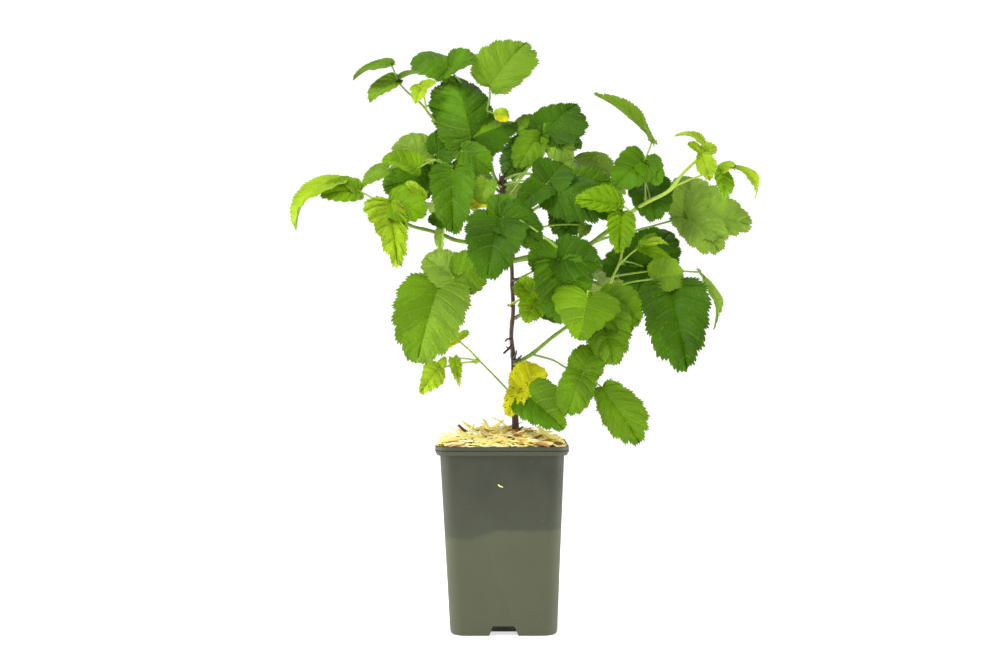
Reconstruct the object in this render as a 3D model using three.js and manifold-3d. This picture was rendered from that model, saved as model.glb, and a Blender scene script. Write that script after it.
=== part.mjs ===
// A young tayberry plant in a square nursery pot, in millimetres, with +Z up and the viewer at -Y.
// One brown cane stands in the filled pot and carries green shoots, each with its own foliage.

import * as THREE from 'three';
import { mergeVertices } from 'three/addons/utils/BufferGeometryUtils.js';
import Module from 'manifold-3d';

// Pot, a thin moulded shell with a turned-down rim and a raised floor
const pot = {
  height: 190, rimWidth: 136, rimFootWidth: 132.5, rimDrop: 8,
  neckWidth: 123.8, baseWidth: 106, wall: 1.4, cornerRadius: 13, cornerSteps: 3,
  floorUnderside: 10.5, floorThickness: 1.6, footRound: 4,
  notchFoot: 30, notchTop: 22, notchHeight: 9.8,
  drainRadius: 6, drainSpread: 30, drainSides: 10,
};

// Filling, with its mounded top of wood chips
const fill = {
  edgeDrop: 6, moundHeight: 18, gridSteps: 8, roughness: 2.2,
  chipCount: 10, chipLength: [9, 24], chipWidth: [2.5, 5], chipThickness: 1.3,
  chipLean: 0.5, chipRise: 1, seatRadius: 7, seed: 5,
};

// The plant is set out as seen from the front: across and up are read on the upright plane of
// the pot's front face, and depth moves a point along the line of sight, back from the pot's middle.
const view = { distance: 1550, eyeHeight: 302.5, frontDepth: -67 };

// Gaps between solids, and the finest edge that joining them may leave
const clearance = 0.3;
const sideGap = 0.5;
const finestEdge = 0.05;

// Leaves of one mass are fused at their feet only: the most, in cubic millimetres, that they share
const mostCrossing = 30;

// A leaflet's thickness is a share of its length, and its stalk runs a little way into its blade
const leafThickness = 0.014;
const leastThickness = 0.75;
const rootShare = 0.12;
const rootOffset = 0.2;

// Leaves face up as much as forwards, by a tilt that swings a little from leaf to leaf
const leafTilt = 24;
const tiltSwing = 9;
const tiltStep = 2.4;
const fullRoll = 45;

// Limbs have two steps to each span of their line, and twigs and petioles have few sides
const spanSteps = 2;
const stemSides = 4;
const petioleSides = 3;
const petioleRadii = [1.1, 0.9, 1.4];
const stalkRadii = [0.9, 0.8, 0.5];
const petioleRise = 0.04;

// Half outline of a leaflet: share of its width, share of its length, and where that rib starts
const halfOutline = [
  [0.21, -0.07, 0.0],
  [0.49, 0.12, 0.08],
  [0.49, 0.48, 0.36],
  [0.28, 0.84, 0.72],
];

const colours = {
  pot: { color: 0x55574c, roughness: 0.6, metalness: 0 },
  fill: { color: 0xcdb17c, roughness: 0.95, metalness: 0 },
  bark: { color: 0x4a3427, roughness: 0.85, metalness: 0 },
  shoot: { color: 0x7d9a3a, roughness: 0.6, metalness: 0 },
  leaf: { color: 0x5f9422, roughness: 0.5, metalness: 0 },
};

const wasm = await Module();
wasm.setup();

const radians = THREE.MathUtils.degToRad;

// A small repeatable generator, so that the same plant grows each time
let seed = 1;
function draw(low, high) {
  seed = (seed * 16807) % 2147483647;
  return low + ((high - low) * seed) / 2147483647;
}

function seen([across, up, depth]) {
  const scale = (view.distance - view.frontDepth + depth) / view.distance;
  return new THREE.Vector3(across * scale, depth, view.eyeHeight + (up - view.eyeHeight) * scale);
}

// A heading as seen from the front: turn is clockwise from straight up, lean is towards the viewer
function heading(turn, lean) {
  const t = radians(turn);
  const l = radians(lean);
  return new THREE.Vector3(Math.sin(t) * Math.cos(l), -Math.sin(l), Math.cos(t) * Math.cos(l));
}

function solidFrom(positions, triangles) {
  return new wasm.Manifold(new wasm.Mesh({
    numProp: 3,
    vertProperties: new Float32Array(positions),
    triVerts: new Uint32Array(triangles),
  }));
}

function solidFromGeometry(geometry) {
  const bare = geometry.index ? geometry : geometry.clone();
  bare.deleteAttribute('normal');
  bare.deleteAttribute('uv');
  const merged = mergeVertices(bare, 1e-4);
  return solidFrom(merged.attributes.position.array, merged.index.array);
}

function meshFromSolid(name, solid, finish) {
  const mesh = solid.getMesh();
  const geometry = new THREE.BufferGeometry();
  const positions = [];
  for (let i = 0; i < mesh.numVert; i += 1) {
    for (let k = 0; k < 3; k += 1) positions.push(mesh.vertProperties[i * mesh.numProp + k]);
  }
  geometry.setAttribute('position', new THREE.Float32BufferAttribute(positions, 3));
  geometry.setIndex(Array.from(mesh.triVerts));
  geometry.computeVertexNormals();
  const result = new THREE.Mesh(geometry, new THREE.MeshStandardMaterial(finish));
  result.name = name;
  return result;
}

// Rings of equal count, joined by walls and closed at both ends
function loft(rings) {
  const count = rings[0].length;
  const positions = rings.flat().flatMap((p) => [p.x, p.y, p.z]);
  const triangles = [];
  for (let r = 0; r + 1 < rings.length; r += 1) {
    for (let i = 0; i < count; i += 1) {
      const a = r * count + i;
      const b = r * count + ((i + 1) % count);
      triangles.push(a, b, b + count, a, b + count, a + count);
    }
  }
  const last = (rings.length - 1) * count;
  for (let i = 1; i + 1 < count; i += 1) {
    triangles.push(0, i + 1, i);
    triangles.push(last, last + i, last + i + 1);
  }
  return solidFrom(positions, triangles);
}

// Even steps along a smooth line through the points, each with a frame carried on from the last
function limbFrames(points, stepsPerSpan) {
  const curve = new THREE.CatmullRomCurve3(points, false, 'centripetal');
  const steps = (points.length - 1) * stepsPerSpan;
  const normal = new THREE.Vector3(0.2, 1, 0.1);
  const frames = [];
  for (let i = 0; i <= steps; i += 1) {
    const tangent = curve.getTangent(i / steps);
    normal.addScaledVector(tangent, -normal.dot(tangent)).normalize();
    frames.push({ centre: curve.getPoint(i / steps), tangent, normal: normal.clone() });
  }
  return frames;
}

function placeAlong(points, share) {
  const frames = limbFrames(points, spanSteps);
  const place = share * (frames.length - 1);
  const low = Math.min(frames.length - 2, Math.floor(place));
  return frames[low].centre.clone().lerp(frames[low + 1].centre, place - low);
}

// A limb along a smooth line through its points, tapering through its radii
function limb(points, radii, sides, grow = 0, stepsPerSpan = spanSteps) {
  const frames = limbFrames(points, stepsPerSpan);
  const last = frames.length - 1;
  frames[0].centre.addScaledVector(frames[0].tangent, -grow);
  frames[last].centre.addScaledVector(frames[last].tangent, grow);
  return loft(frames.map(({ centre, tangent, normal }, i) => {
    const place = (i / last) * (radii.length - 1);
    const low = Math.min(radii.length - 2, Math.floor(place));
    const radius = radii[low] + (radii[low + 1] - radii[low]) * (place - low) + grow;
    const binormal = new THREE.Vector3().crossVectors(tangent, normal);
    return Array.from({ length: sides }, (_, k) => centre.clone()
      .addScaledVector(normal, radius * Math.cos((2 * Math.PI * k) / sides))
      .addScaledVector(binormal, radius * Math.sin((2 * Math.PI * k) / sides)));
  }));
}

// Leaves face up as much as forwards: this tilts a heading back about the viewer's left to right,
// and lengthens a blade so that it still looks as long from the front
function tilted(direction, tilt) {
  return direction.clone().applyAxisAngle(new THREE.Vector3(1, 0, 0), -radians(tilt));
}

function tiltStretch(turn, tilt) {
  return 1 / Math.sqrt(1 - (Math.sin(radians(tilt)) * Math.cos(radians(turn))) ** 2);
}

// The blade's own axes: along it, out of its upper face, and across it.
// At roll 0 the upper face looks at the viewer, and a positive roll turns it to the sky.
function bladeAxes(along, roll) {
  const facing = new THREE.Vector3(0, -1, 0);
  facing.addScaledVector(along, -facing.dot(along)).normalize();
  const skyward = new THREE.Vector3().crossVectors(along, facing);
  if (skyward.z < 0) skyward.negate();
  const upper = facing.multiplyScalar(Math.cos(radians(roll)))
    .addScaledVector(skyward, Math.sin(radians(roll)));
  return { along, upper, across: new THREE.Vector3().crossVectors(along, upper) };
}

// A leaflet is two half blades folded up from the midrib and bowed from its base to its tip
function leafletBlade(base, axes, { long, wide, arch, fold }, grow = 0) {
  const thick = Math.max(leastThickness, leafThickness * long) / 2 + grow;
  const rise = Math.sin(radians(fold));
  const reach = Math.cos(radians(fold));
  const surface = (acrossShare, alongShare, offset) => base.clone()
    .addScaledVector(axes.along, alongShare * long)
    .addScaledVector(axes.across, acrossShare * reach * wide)
    .addScaledVector(axes.upper, 4 * arch * long * alongShare * (1 - alongShare)
      + Math.abs(acrossShare) * rise * wide + offset);
  const ribs = halfOutline.length;
  const points = [surface(0, 1, 0)];
  halfOutline.forEach(([, , start]) => points.push(surface(0, start, thick)));
  halfOutline.forEach(([, , start]) => points.push(surface(0, start, -thick)));
  const side = [1, -1].map((sign) => {
    const first = points.length;
    halfOutline.forEach(([share, along]) => points.push(surface(sign * share, along, 0)));
    return first;
  });
  const triangles = [];
  const put = (flip, a, b, c) => triangles.push(...(flip ? [a, c, b] : [a, b, c]));
  [[1, side[0], true], [1, side[1], false], [1 + ribs, side[0], false], [1 + ribs, side[1], true]]
    .forEach(([mid, edge, flip]) => {
      put(flip, mid, edge + 1, edge);
      put(flip, mid, mid + 1, edge + 1);
      for (let i = 1; i + 1 < ribs; i += 1) {
        put(flip, mid + i, edge + i + 1, edge + i);
        put(flip, mid + i, mid + i + 1, edge + i + 1);
      }
      put(flip, mid + ribs - 1, 0, edge + ribs - 1);
    });
  [[side[0], true], [side[1], false]].forEach(([edge, flip]) => {
    put(flip, 1, edge, 1 + ribs);
  });
  return solidFrom(points.flatMap((p) => [p.x, p.y, p.z]), triangles);
}

// A ring of points round a square with rounded corners, at one height
function squareRing(width, corner, height) {
  const half = width / 2;
  const ring = [];
  for (let quarter = 0; quarter < 4; quarter += 1) {
    for (let k = 0; k <= pot.cornerSteps; k += 1) {
      const angle = (Math.PI / 2) * (quarter + k / pot.cornerSteps);
      const centre = (Math.PI / 2) * quarter + Math.PI / 4;
      const inset = (half - corner) * Math.SQRT2;
      ring.push(new THREE.Vector3(
        Math.cos(centre) * inset + Math.cos(angle) * corner,
        Math.sin(centre) * inset + Math.sin(angle) * corner,
        height,
      ));
    }
  }
  return ring;
}

// Outer width of the pot's wall below the rim, which narrows evenly to the base
function wallWidth(height) {
  return pot.baseWidth + ((pot.neckWidth - pot.baseWidth) * height) / pot.height;
}

function makePot() {
  const { height, wall, cornerRadius: corner, rimDrop, footRound } = pot;
  const floorTop = pot.floorUnderside + pot.floorThickness;
  const inner = corner - wall;
  const rimFoot = height - rimDrop;
  const shell = loft([
    squareRing(wallWidth(0) - footRound, corner - footRound / 2, 0),
    squareRing(wallWidth(footRound), corner, footRound),
    squareRing(wallWidth(height - wall), corner, height - wall),
    squareRing(pot.rimWidth - 2 * wall, corner + wall, height - wall),
    squareRing(pot.rimFootWidth - 2 * wall, corner + wall, rimFoot),
    squareRing(pot.rimFootWidth, corner + 2 * wall, rimFoot),
    squareRing(pot.rimWidth, corner + 2 * wall, height),
    squareRing(wallWidth(height) - 2 * wall, inner, height),
    squareRing(wallWidth(floorTop) - 2 * wall, inner, floorTop),
  ]);
  const hollow = loft([
    squareRing(wallWidth(0) - footRound - 2 * wall, inner - footRound / 2, -1),
    squareRing(wallWidth(footRound) - 2 * wall, inner, footRound),
    squareRing(wallWidth(pot.floorUnderside) - 2 * wall, inner, pot.floorUnderside),
  ]);
  let solid = shell.subtract(hollow);

  const profile = new THREE.Shape([
    new THREE.Vector2(-pot.notchFoot / 2, -1),
    new THREE.Vector2(pot.notchFoot / 2, -1),
    new THREE.Vector2(pot.notchTop / 2, pot.notchHeight),
    new THREE.Vector2(-pot.notchTop / 2, pot.notchHeight),
  ]);
  const notch = new THREE.ExtrudeGeometry(profile, { depth: 2 * pot.rimWidth, bevelEnabled: false });
  notch.translate(0, 0, -pot.rimWidth).rotateX(Math.PI / 2);
  [0, Math.PI / 2].forEach((angle) => {
    solid = solid.subtract(solidFromGeometry(notch.clone().rotateZ(angle)));
  });

  const drains = [[0, 0], [1, 1], [-1, 1], [-1, -1], [1, -1]];
  drains.forEach(([x, y]) => {
    const hole = new THREE.CylinderGeometry(pot.drainRadius, pot.drainRadius, 4 * floorTop, pot.drainSides);
    hole.rotateX(Math.PI / 2).translate(x * pot.drainSpread, y * pot.drainSpread, 0);
    solid = solid.subtract(solidFromGeometry(hole));
  });
  return solid;
}

// The filling follows the pot's inside, and its top rises to a low mound with chips strewn on it
function makeFill() {
  const { wall, cornerRadius: corner } = pot;
  const shrink = 2 * (wall + clearance);
  const bottom = pot.floorUnderside + pot.floorThickness + clearance;
  const edge = pot.height - fill.edgeDrop;
  const inner = corner - wall - clearance;
  const stemFoot = seen(limbs[0].line[0]);
  const seat = stemFoot.z - clearance;
  const mound = (x, y) => {
    const half = wallWidth(edge) / 2;
    const fall = Math.max(Math.abs(x), Math.abs(y)) / half;
    return edge + fill.moundHeight * (1 - fall * fall);
  };

  const steps = fill.gridSteps;
  const half = pot.neckWidth / 2;
  const positions = [];
  const triangles = [];
  for (let row = 0; row <= steps; row += 1) {
    for (let column = 0; column <= steps; column += 1) {
      const x = (2 * column / steps - 1) * half;
      const y = (2 * row / steps - 1) * half;
      const atStem = Math.hypot(x - stemFoot.x, y - stemFoot.y) < fill.seatRadius;
      positions.push(x, y, atStem ? seat : mound(x, y) + draw(-fill.roughness, fill.roughness));
    }
  }
  const topCount = positions.length / 3;
  for (let i = 0; i < topCount; i += 1) {
    positions.push(positions[3 * i], positions[3 * i + 1], bottom - 1);
  }
  const quad = (a, b, c, d) => triangles.push(a, b, c, a, c, d);
  const at = (row, column) => row * (steps + 1) + column;
  for (let row = 0; row < steps; row += 1) {
    for (let column = 0; column < steps; column += 1) {
      const cell = [at(row, column), at(row, column + 1), at(row + 1, column + 1), at(row + 1, column)];
      quad(...cell);
      quad(...cell.map((i) => i + topCount).reverse());
    }
  }
  for (let i = 0; i < steps; i += 1) {
    const rims = [[at(0, i), at(0, i + 1)], [at(i, steps), at(i + 1, steps)],
      [at(steps, steps - i), at(steps, steps - i - 1)], [at(steps - i, 0), at(steps - i - 1, 0)]];
    rims.forEach(([a, b]) => quad(a, a + topCount, b + topCount, b));
  }
  const block = solidFrom(positions, triangles);
  const mould = loft([
    squareRing(wallWidth(bottom) - shrink, inner, bottom),
    squareRing(wallWidth(pot.height) - shrink, inner, pot.height),
    squareRing(wallWidth(pot.height) - shrink, inner, 2 * pot.height),
  ]);
  const pieces = [block.intersect(mould)];

  const strewn = half - fill.chipLength[1] / 2 - fill.chipWidth[1];
  while (pieces.length <= fill.chipCount) {
    const length = draw(...fill.chipLength);
    const width = draw(...fill.chipWidth);
    const x = draw(-strewn, strewn);
    const y = draw(-strewn, strewn);
    const chip = new THREE.BoxGeometry(length, width, fill.chipThickness);
    chip.rotateX(draw(-fill.chipLean, fill.chipLean)).rotateY(draw(-fill.chipLean, fill.chipLean));
    chip.rotateZ(draw(0, Math.PI));
    chip.translate(x, y, mound(x, y) + fill.chipRise);
    const clearOfStem = Math.hypot(x - stemFoot.x, y - stemFoot.y) > length / 2 + fill.seatRadius;
    if (clearOfStem) pieces.push(solidFromGeometry(chip));
  }
  return joinAll(pieces).subtract(sheaths.stem);
}

const blade = (turn, long, wide, lean, roll, more = {}) => (
  { turn, long, wide, lean, roll, stalk: 0, arch: 0.05, fold: 12, ...more });
const leaf = (along, node, ...blades) => ({ along, node, blades });

// The cane, and the shoots that it carries. A limb's points run from its parent's middle outwards.
const limbs = [
  { name: 'stem', finish: 'bark', sides: 6, radii: [3.9, 2.9, 2.4, 2.7, 2.1, 2.0, 1.9, 2.0, 2.4, 3.9],
    line: [[14.5, 204, 0], [12.8, 236, 0], [12, 256, 1], [12, 276, 2], [10, 300, 0], [11.5, 330, -1],
      [10.5, 362, 1], [7, 400, 3], [3.5, 432, 3], [1, 453, 3]] },
  { name: 'low_right_shoot', parent: 'stem', finish: 'shoot', sides: 6, radii: [2.2, 1.9, 1.7],
    line: [[12, 273, 1], [29.5, 283, -4], [50.5, 300, -8], [65.5, 311, -9], [90, 331, -7]] },
  { name: 'right_shoot', parent: 'stem', finish: 'shoot', sides: 6, radii: [2.9, 2.7, 2.4, 2.2],
    line: [[9.5, 376, 2], [40, 382, -8], [80.5, 389, -16], [108.5, 408, -22], [125, 422, -24]] },
  { name: 'left_shoot', parent: 'stem', finish: 'shoot', sides: 6, radii: [1.9, 1.6],
    line: [[8.5, 386, 2], [-20, 393, -3], [-46.5, 397, -9], [-60, 403, -12]] },
  { name: 'upper_left_shoot', parent: 'stem', finish: 'shoot', sides: 6, radii: [1.8, 1.4],
    line: [[2, 441, 4], [-15, 457, 16], [-38, 480, 24], [-58, 505, 14], [-70, 520, 6]] },
  { name: 'top_shoot', parent: 'stem', finish: 'shoot', sides: 6, radii: [1.8, 1.5],
    line: [[2, 447, 3], [-6, 458, 5], [-11, 472, 6], [-14.5, 486, 6]] },
  { name: 'upper_right_shoot', parent: 'stem', finish: 'shoot', sides: 6, radii: [1.7, 1.4],
    line: [[3, 438, 4], [14, 452, 10], [25, 467, 8], [34, 482, 0]] },
  { name: 'back_low_shoot', parent: 'stem', finish: 'shoot', sides: 6, radii: [1.9, 1.5],
    line: [[11, 318, 0], [32, 330, 22], [57, 350, 48]] },
  { name: 'back_left_shoot', parent: 'stem', finish: 'shoot', sides: 6, radii: [1.9, 1.5],
    line: [[8, 392, 3], [-20, 410, 24], [-50, 430, 50]] },
  { name: 'back_right_shoot', parent: 'stem', finish: 'shoot', sides: 6, radii: [1.9, 1.5],
    line: [[6, 410, 3], [24, 422, 24], [46, 436, 50]] },
];

// Foliage: each mass has one stem off its parent limb, and compound leaves set along it.
const masses = [
  { name: 'top_foliage', radii: [1.5, 1.1],
    line: [[-14.5, 485.7, 6], [-17, 511, 10], [-11.5, 540, 9]],
    leaves: [
      leaf(1, [-10.5, 543, 9], blade(33, 64, 57, 0, 0)),
      leaf(0.3, [-28.5, 493.5, -6], blade(-14, 71, 71, 0, 6, { arch: 0.08, fold: -16 }),
        blade(83, 48, 46, -8, 10, { fold: -28 })),
      leaf(0.6, [-52, 565, 16], blade(-84, 40, 34, 4, 0), blade(88, 32, 33, 34, 4)),
      leaf(0.75, [-7, 519, 0], blade(92, 18, 15, 0, 0)),
    ] },
  { name: 'upper_left_foliage', radii: [1.3, 0.9],
    line: [[-70, 519.8, 6], [-80.5, 533, 4], [-94.5, 545, 2], [-101, 552, 0]],
    leaves: [
      leaf(1, [-103.5, 556, -1], blade(-106, 43, 33, 0, 66, { stalk: 17, stalkTurn: -24 }),
        blade(-127, 38, 27, 6, 44), blade(72, 26, 22, 6, 72)),
      leaf(0.15, [-78.5, 538, -3], blade(-48, 20, 12, 8, 10), blade(24, 20, 12, 0, 20)),
    ] },
  { name: 'upper_right_foliage', radii: [1.4, 1.0],
    line: [[34, 481.7, 0], [38, 492, 4], [39.5, 500, 7]],
    leaves: [
      leaf(1, [39.5, 502, 8], blade(60, 49, 49, 4, 0, { stalk: 3 }), blade(-147, 45, 33, 6, 4),
        blade(139, 43, 38, 6, 2), blade(-42, 34, 29, 0, 0), blade(-128, 50, 30, -38, 0)),
    ] },
  { name: 'centre_right_foliage', radii: [1.2, 0.9],
    line: [[3, 446, 3], [18.5, 461, -10], [33.5, 462, -20], [45.5, 451, -32]],
    leaves: [
      leaf(1, [45, 452.5, -34], blade(-132, 34, 31, 4, 0), blade(32, 28, 42, 0, 0),
        blade(118, 70, 50, 6, 0, { stalk: 6, fold: -16 })),
      leaf(0.55, [66, 448, -10], blade(79, 46, 32, 0, 0), blade(-173, 40, 38, 0, 0),
        blade(-10, 37, 26, -8, 0), blade(-176, 32, 34, -12, 0, { stalk: 22 })),
    ] },
  { name: 'front_foliage', radii: [1.3, 1.0],
    line: [[7, 400, 3], [4, 410, -36], [0, 416, -74]],
    leaves: [
      leaf(1, [-1.5, 418, -78], blade(-169, 56, 60, 0, 0, { arch: 0.08 }),
        blade(122, 44, 38, -6, 0), blade(-2, 28, 24, 0, 0), blade(84, 40, 31, -12, 0)),
    ] },
  { name: 'middle_foliage', radii: [1.3, 0.9],
    line: [[5.5, 413, 3], [13, 421, -22], [21, 412, -40], [33, 399, -48], [54, 380, -54]],
    leaves: [
      leaf(1, [55.5, 378, -55], blade(-92, 31, 36, 0, 0), blade(94, 42, 44, 0, 0),
        blade(170, 56, 56, -16, 0, { stalk: 4 }), blade(128, 46, 28, -26, 0)),
    ] },
  { name: 'lower_middle_foliage', radii: [1.4, 1.1],
    line: [[88, 329.5, -7], [94, 340, -34], [90, 346, -62], [86, 346, -76]],
    leaves: [
      leaf(1, [84.5, 345, -80], blade(-173, 49, 68, 4, 0, { arch: 0.09, fold: -12 })),
      leaf(0.3, [98, 336, -22], blade(118, 48, 46, 0, 0), blade(170, 56, 52, -2, 0, { stalk: 7 })),
    ] },
  { name: 'stem_foliage', radii: [1.0, 0.8],
    line: [[11, 332, -1], [19, 338, -12], [33, 337, -22]],
    leaves: [
      leaf(1, [34.5, 337, -24], blade(-42, 29, 25, 0, 0), blade(-155, 26, 27, 4, 0),
        blade(114, 30, 26, -12, 0)),
    ] },
  { name: 'low_right_foliage', radii: [1.2, 0.8],
    line: [[29.5, 283, -4], [38.5, 281, -16], [52, 277, -26], [64, 270, -34], [78, 265, -40]],
    leaves: [
      leaf(1, [80.5, 264, -42], blade(24, 30, 38, 0, 0), blade(-159, 43, 37, 0, 0),
        blade(152, 63, 40, 4, 0, { stalk: 30, stalkTurn: 127 })),
    ] },
  { name: 'low_front_foliage', radii: [1.0, 0.9],
    line: [[12.3, 262, 1], [15, 256, -14], [18.5, 250, -32]],
    leaves: [
      leaf(1, [18.5, 248.5, -35], blade(30, 28, 32, 0, 0), blade(-158, 29, 22, 4, 0),
        blade(136, 54, 44, 4, 0, { stalk: 6 })),
    ] },
  { name: 'low_sprig', radii: [1.0, 0.8],
    line: [[12.8, 240, 0], [3, 251, -8], [-11.5, 266, -18], [-21.5, 276, -24]],
    leaves: [
      leaf(1, [-43.5, 293, -28], blade(44, 18, 9, 0, 10), blade(-128, 19, 7, 0, 0)),
      leaf(1, [-46, 278, -36], blade(172, 30, 14, 0, 20)),
      leaf(1, [-61.5, 268, -28], blade(-136, 33, 28, 0, 0), blade(24, 13, 9, 0, 0)),
    ] },
  { name: 'left_foliage', radii: [1.5, 1.0],
    line: [[-59.7, 402.9, -12], [-74.5, 407, -18], [-90, 411, -24], [-103, 419, -28],
      [-111, 430, -30]],
    leaves: [
      leaf(1, [-112.5, 433, -32], blade(173, 64, 44, 0, 8), blade(106, 38, 36, 0, 0),
        blade(56, 22, 12, 0, 10, { stalk: 16 })),
      leaf(0.85, [-142.5, 446, -24], blade(-135, 67, 32, 4, 58, { stalk: 23, stalkTurn: -65, arch: 0.2 }),
        blade(-98, 37, 28, 4, 22), blade(-56, 23, 17, 0, 44)),
      leaf(0.08, [-57, 414, -20], blade(-172, 30, 14, 0, 50), blade(-68, 17, 16, 0, 0)),
    ] },
  { name: 'inner_left_foliage', radii: [1.4, 1.0],
    line: [[2.5, 434, 3], [-20, 450, 2], [-45, 468, 0], [-66, 477, -4]],
    leaves: [
      leaf(1, [-82.5, 466, -12], blade(-74, 38, 29, 4, 40)),
      leaf(1, [-113, 468, -2], blade(-122, 31, 23, 4, 40)),
      leaf(0.9, [-69, 481, 14], blade(-72, 42, 32, 0, 0)),
      leaf(0.8, [-60, 464, 18], blade(-104, 60, 40, 0, 0)),
      leaf(0.7, [-66, 482, 6], blade(56, 39, 34, 8, 0)),
    ] },
  { name: 'centre_left_foliage', radii: [1.3, 1.0],
    line: [[3, 426, 3], [-12, 441, -20], [-32, 458, -36]],
    leaves: [
      leaf(1, [-44, 468, -40], blade(178, 60, 48, 0, 0)),
      leaf(0.6, [-13, 453, -32], blade(-158, 25, 24, 0, 0)),
      leaf(0.4, [-12, 436, -36], blade(-104, 24, 17, 6, 0)),
      leaf(0.9, [-40, 486, -20], blade(127, 40, 28, 0, 0)),
    ] },
  { name: 'left_low_foliage', radii: [1.4, 1.0],
    line: [[9.3, 374, 1], [-10, 382, -28], [-32, 378, -52], [-45, 362, -66]],
    leaves: [
      leaf(1, [-46.5, 360, -68], blade(-164, 82, 67, 0, 0, { stalk: 17, stalkTurn: -119, arch: 0.07 }),
        blade(-50, 34, 32, -10, 0), blade(80, 35, 42, 0, 0)),
    ] },
  { name: 'right_foliage', radii: [2.1, 1.8, 1.3],
    line: [[124.8, 421.8, -24], [143.5, 434, -30], [166.5, 446, -36], [180.5, 463, -42],
      [197, 479, -47]],
    leaves: [
      leaf(0.05, [120.5, 431, -56], blade(-82, 46, 29, 0, 6),
        blade(-174, 44, 28, 6, 0, { stalk: 9 })),
      leaf(0.25, [142.5, 476, -32], blade(-47, 72, 40, 0, 64, { stalk: 21, stalkTurn: 19 }),
        blade(-131, 40, 40, 0, 0), blade(152, 28, 27, 6, 0), blade(127, 27, 9, -10, 30)),
      leaf(0.3, [144, 453, -6], blade(171, 38, 47, 0, 0)),
      leaf(1, [200, 483, -48], blade(-66, 31, 18, 0, 58, { stalk: 8, stalkTurn: 20, arch: 0.16 }),
        blade(-56, 18, 10, 16, 20), blade(51, 16, 14, 0, 0), blade(176, 26, 25, 4, 0)),
      leaf(0.55, [218, 466, -46], blade(172, 30, 22, 0, 34), blade(60, 16, 12, 0, 20),
        blade(146, 38, 17, 0, 52, { stalk: 14, stalkTurn: 80, arch: 0.24 })),
    ] },
  { name: 'far_right_foliage', radii: [1.3, 1.0],
    line: [[81.5, 389.5, -16], [104, 399, -2], [135.5, 407, 10], [180, 419, 18]],
    leaves: [
      leaf(1, [182.5, 420, 18], blade(12, 46, 44, 0, 0), blade(97, 66, 60, 0, 0, { stalk: 2 }),
        blade(146, 54, 44, 8, 0)),
    ] },
  { name: 'outer_right_foliage', radii: [1.5, 1.1],
    line: [[89.8, 330.8, -7], [105.5, 347, -3], [111.5, 361, -1], [117.5, 374, 1], [120.5, 386, 3]],
    leaves: [
      leaf(0.7, [139, 391, -8], blade(46, 23, 10, 0, 20), blade(120, 31, 20, 6, 0),
        blade(90, 28, 8, 0, 30, { arch: 0.22 })),
      leaf(0.25, [150, 358, -30], blade(76, 32, 38, 6, 0),
        blade(173, 84, 75, 0, 0, { stalk: 22, stalkTurn: 118 })),
      leaf(0.5, [197, 364, -8], blade(164, 60, 24, 4, 58, { arch: 0.13 })),
      leaf(0.8, [142, 370, 16], blade(34, 50, 52, 0, 0), blade(-88, 45, 34, 0, 0),
        blade(-165, 38, 34, -8, 0)),
    ] },
];

// Masses round the back of the crown grow by rule: a leaf at each joint, turned on by the golden
// share of the fan
const backMasses = [
  { name: 'back_low_foliage', seed: 19, tries: 14,
    line: [[57.1, 350.4, 48.3], [70, 358, 74], [74, 368, 100]],
    space: [[84, 100, 358], [62, 100, 58]] },
  { name: 'back_left_foliage', seed: 107, tries: 14,
    line: [[-50.3, 430.2, 50.3], [-64, 444, 74], [-68, 458, 100]],
    space: [[-68, 100, 468], [70, 100, 62]] },
  { name: 'back_right_foliage', seed: 23, tries: 14,
    line: [[46.3, 436.2, 50.3], [58, 446, 74], [60, 462, 100]],
    space: [[60, 100, 474], [72, 100, 66]] },
];
const backRule = {
  fan: 95, goldenShare: 0.618, petiole: [22, 40], lift: 0.3, radii: [1.4, 1.0],
  terminal: [52, 68], terminalShare: 0.86, side: [38, 50], sideShare: 0.8, stalk: [12, 18],
  sideTurn: 72, sideSwing: 8, droop: [8, 34], liftSwing: 0.9, firstShare: 0.15, mostLeaves: 4,
  arch: 0.07, fold: 12,
};

const sheaths = {};
const solids = {};
const taken = [];
const massStems = {};
const finishes = {};

function keep(name, solid, finish) {
  solids[name] = solid;
  finishes[name] = finish;
  taken.push(solid);
}

function joinAll(list) {
  return wasm.Manifold.union(list);
}

limbs.forEach(({ name, parent, finish, sides, radii, line }) => {
  const points = line.map(seen);
  let solid = limb(points, radii, sides);
  if (parent) solid = solid.subtract(sheaths[parent]);
  sheaths[name] = limb(points, radii, sides, clearance);
  keep(name, solid, finish);
});

function isClear(solid, owner) {
  const otherStems = Object.entries(massStems).filter(([name]) => name !== owner);
  const others = [...taken, ...otherStems.map(([, stem]) => stem)];
  return others.every((other) => solid.intersect(other).isEmpty());
}

// A blade that is rolled to the sky is seen near its edge, so it isn't tilted as well
function leafTiltOf(roll, tilt) {
  return tilt * Math.max(0, 1 - roll / fullRoll);
}

function seenAxes(spec, tilt) {
  const flat = bladeAxes(heading(spec.turn, spec.lean), spec.roll);
  return {
    along: tilted(flat.along, tilt), upper: tilted(flat.upper, tilt), across: tilted(flat.across, tilt),
  };
}

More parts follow.
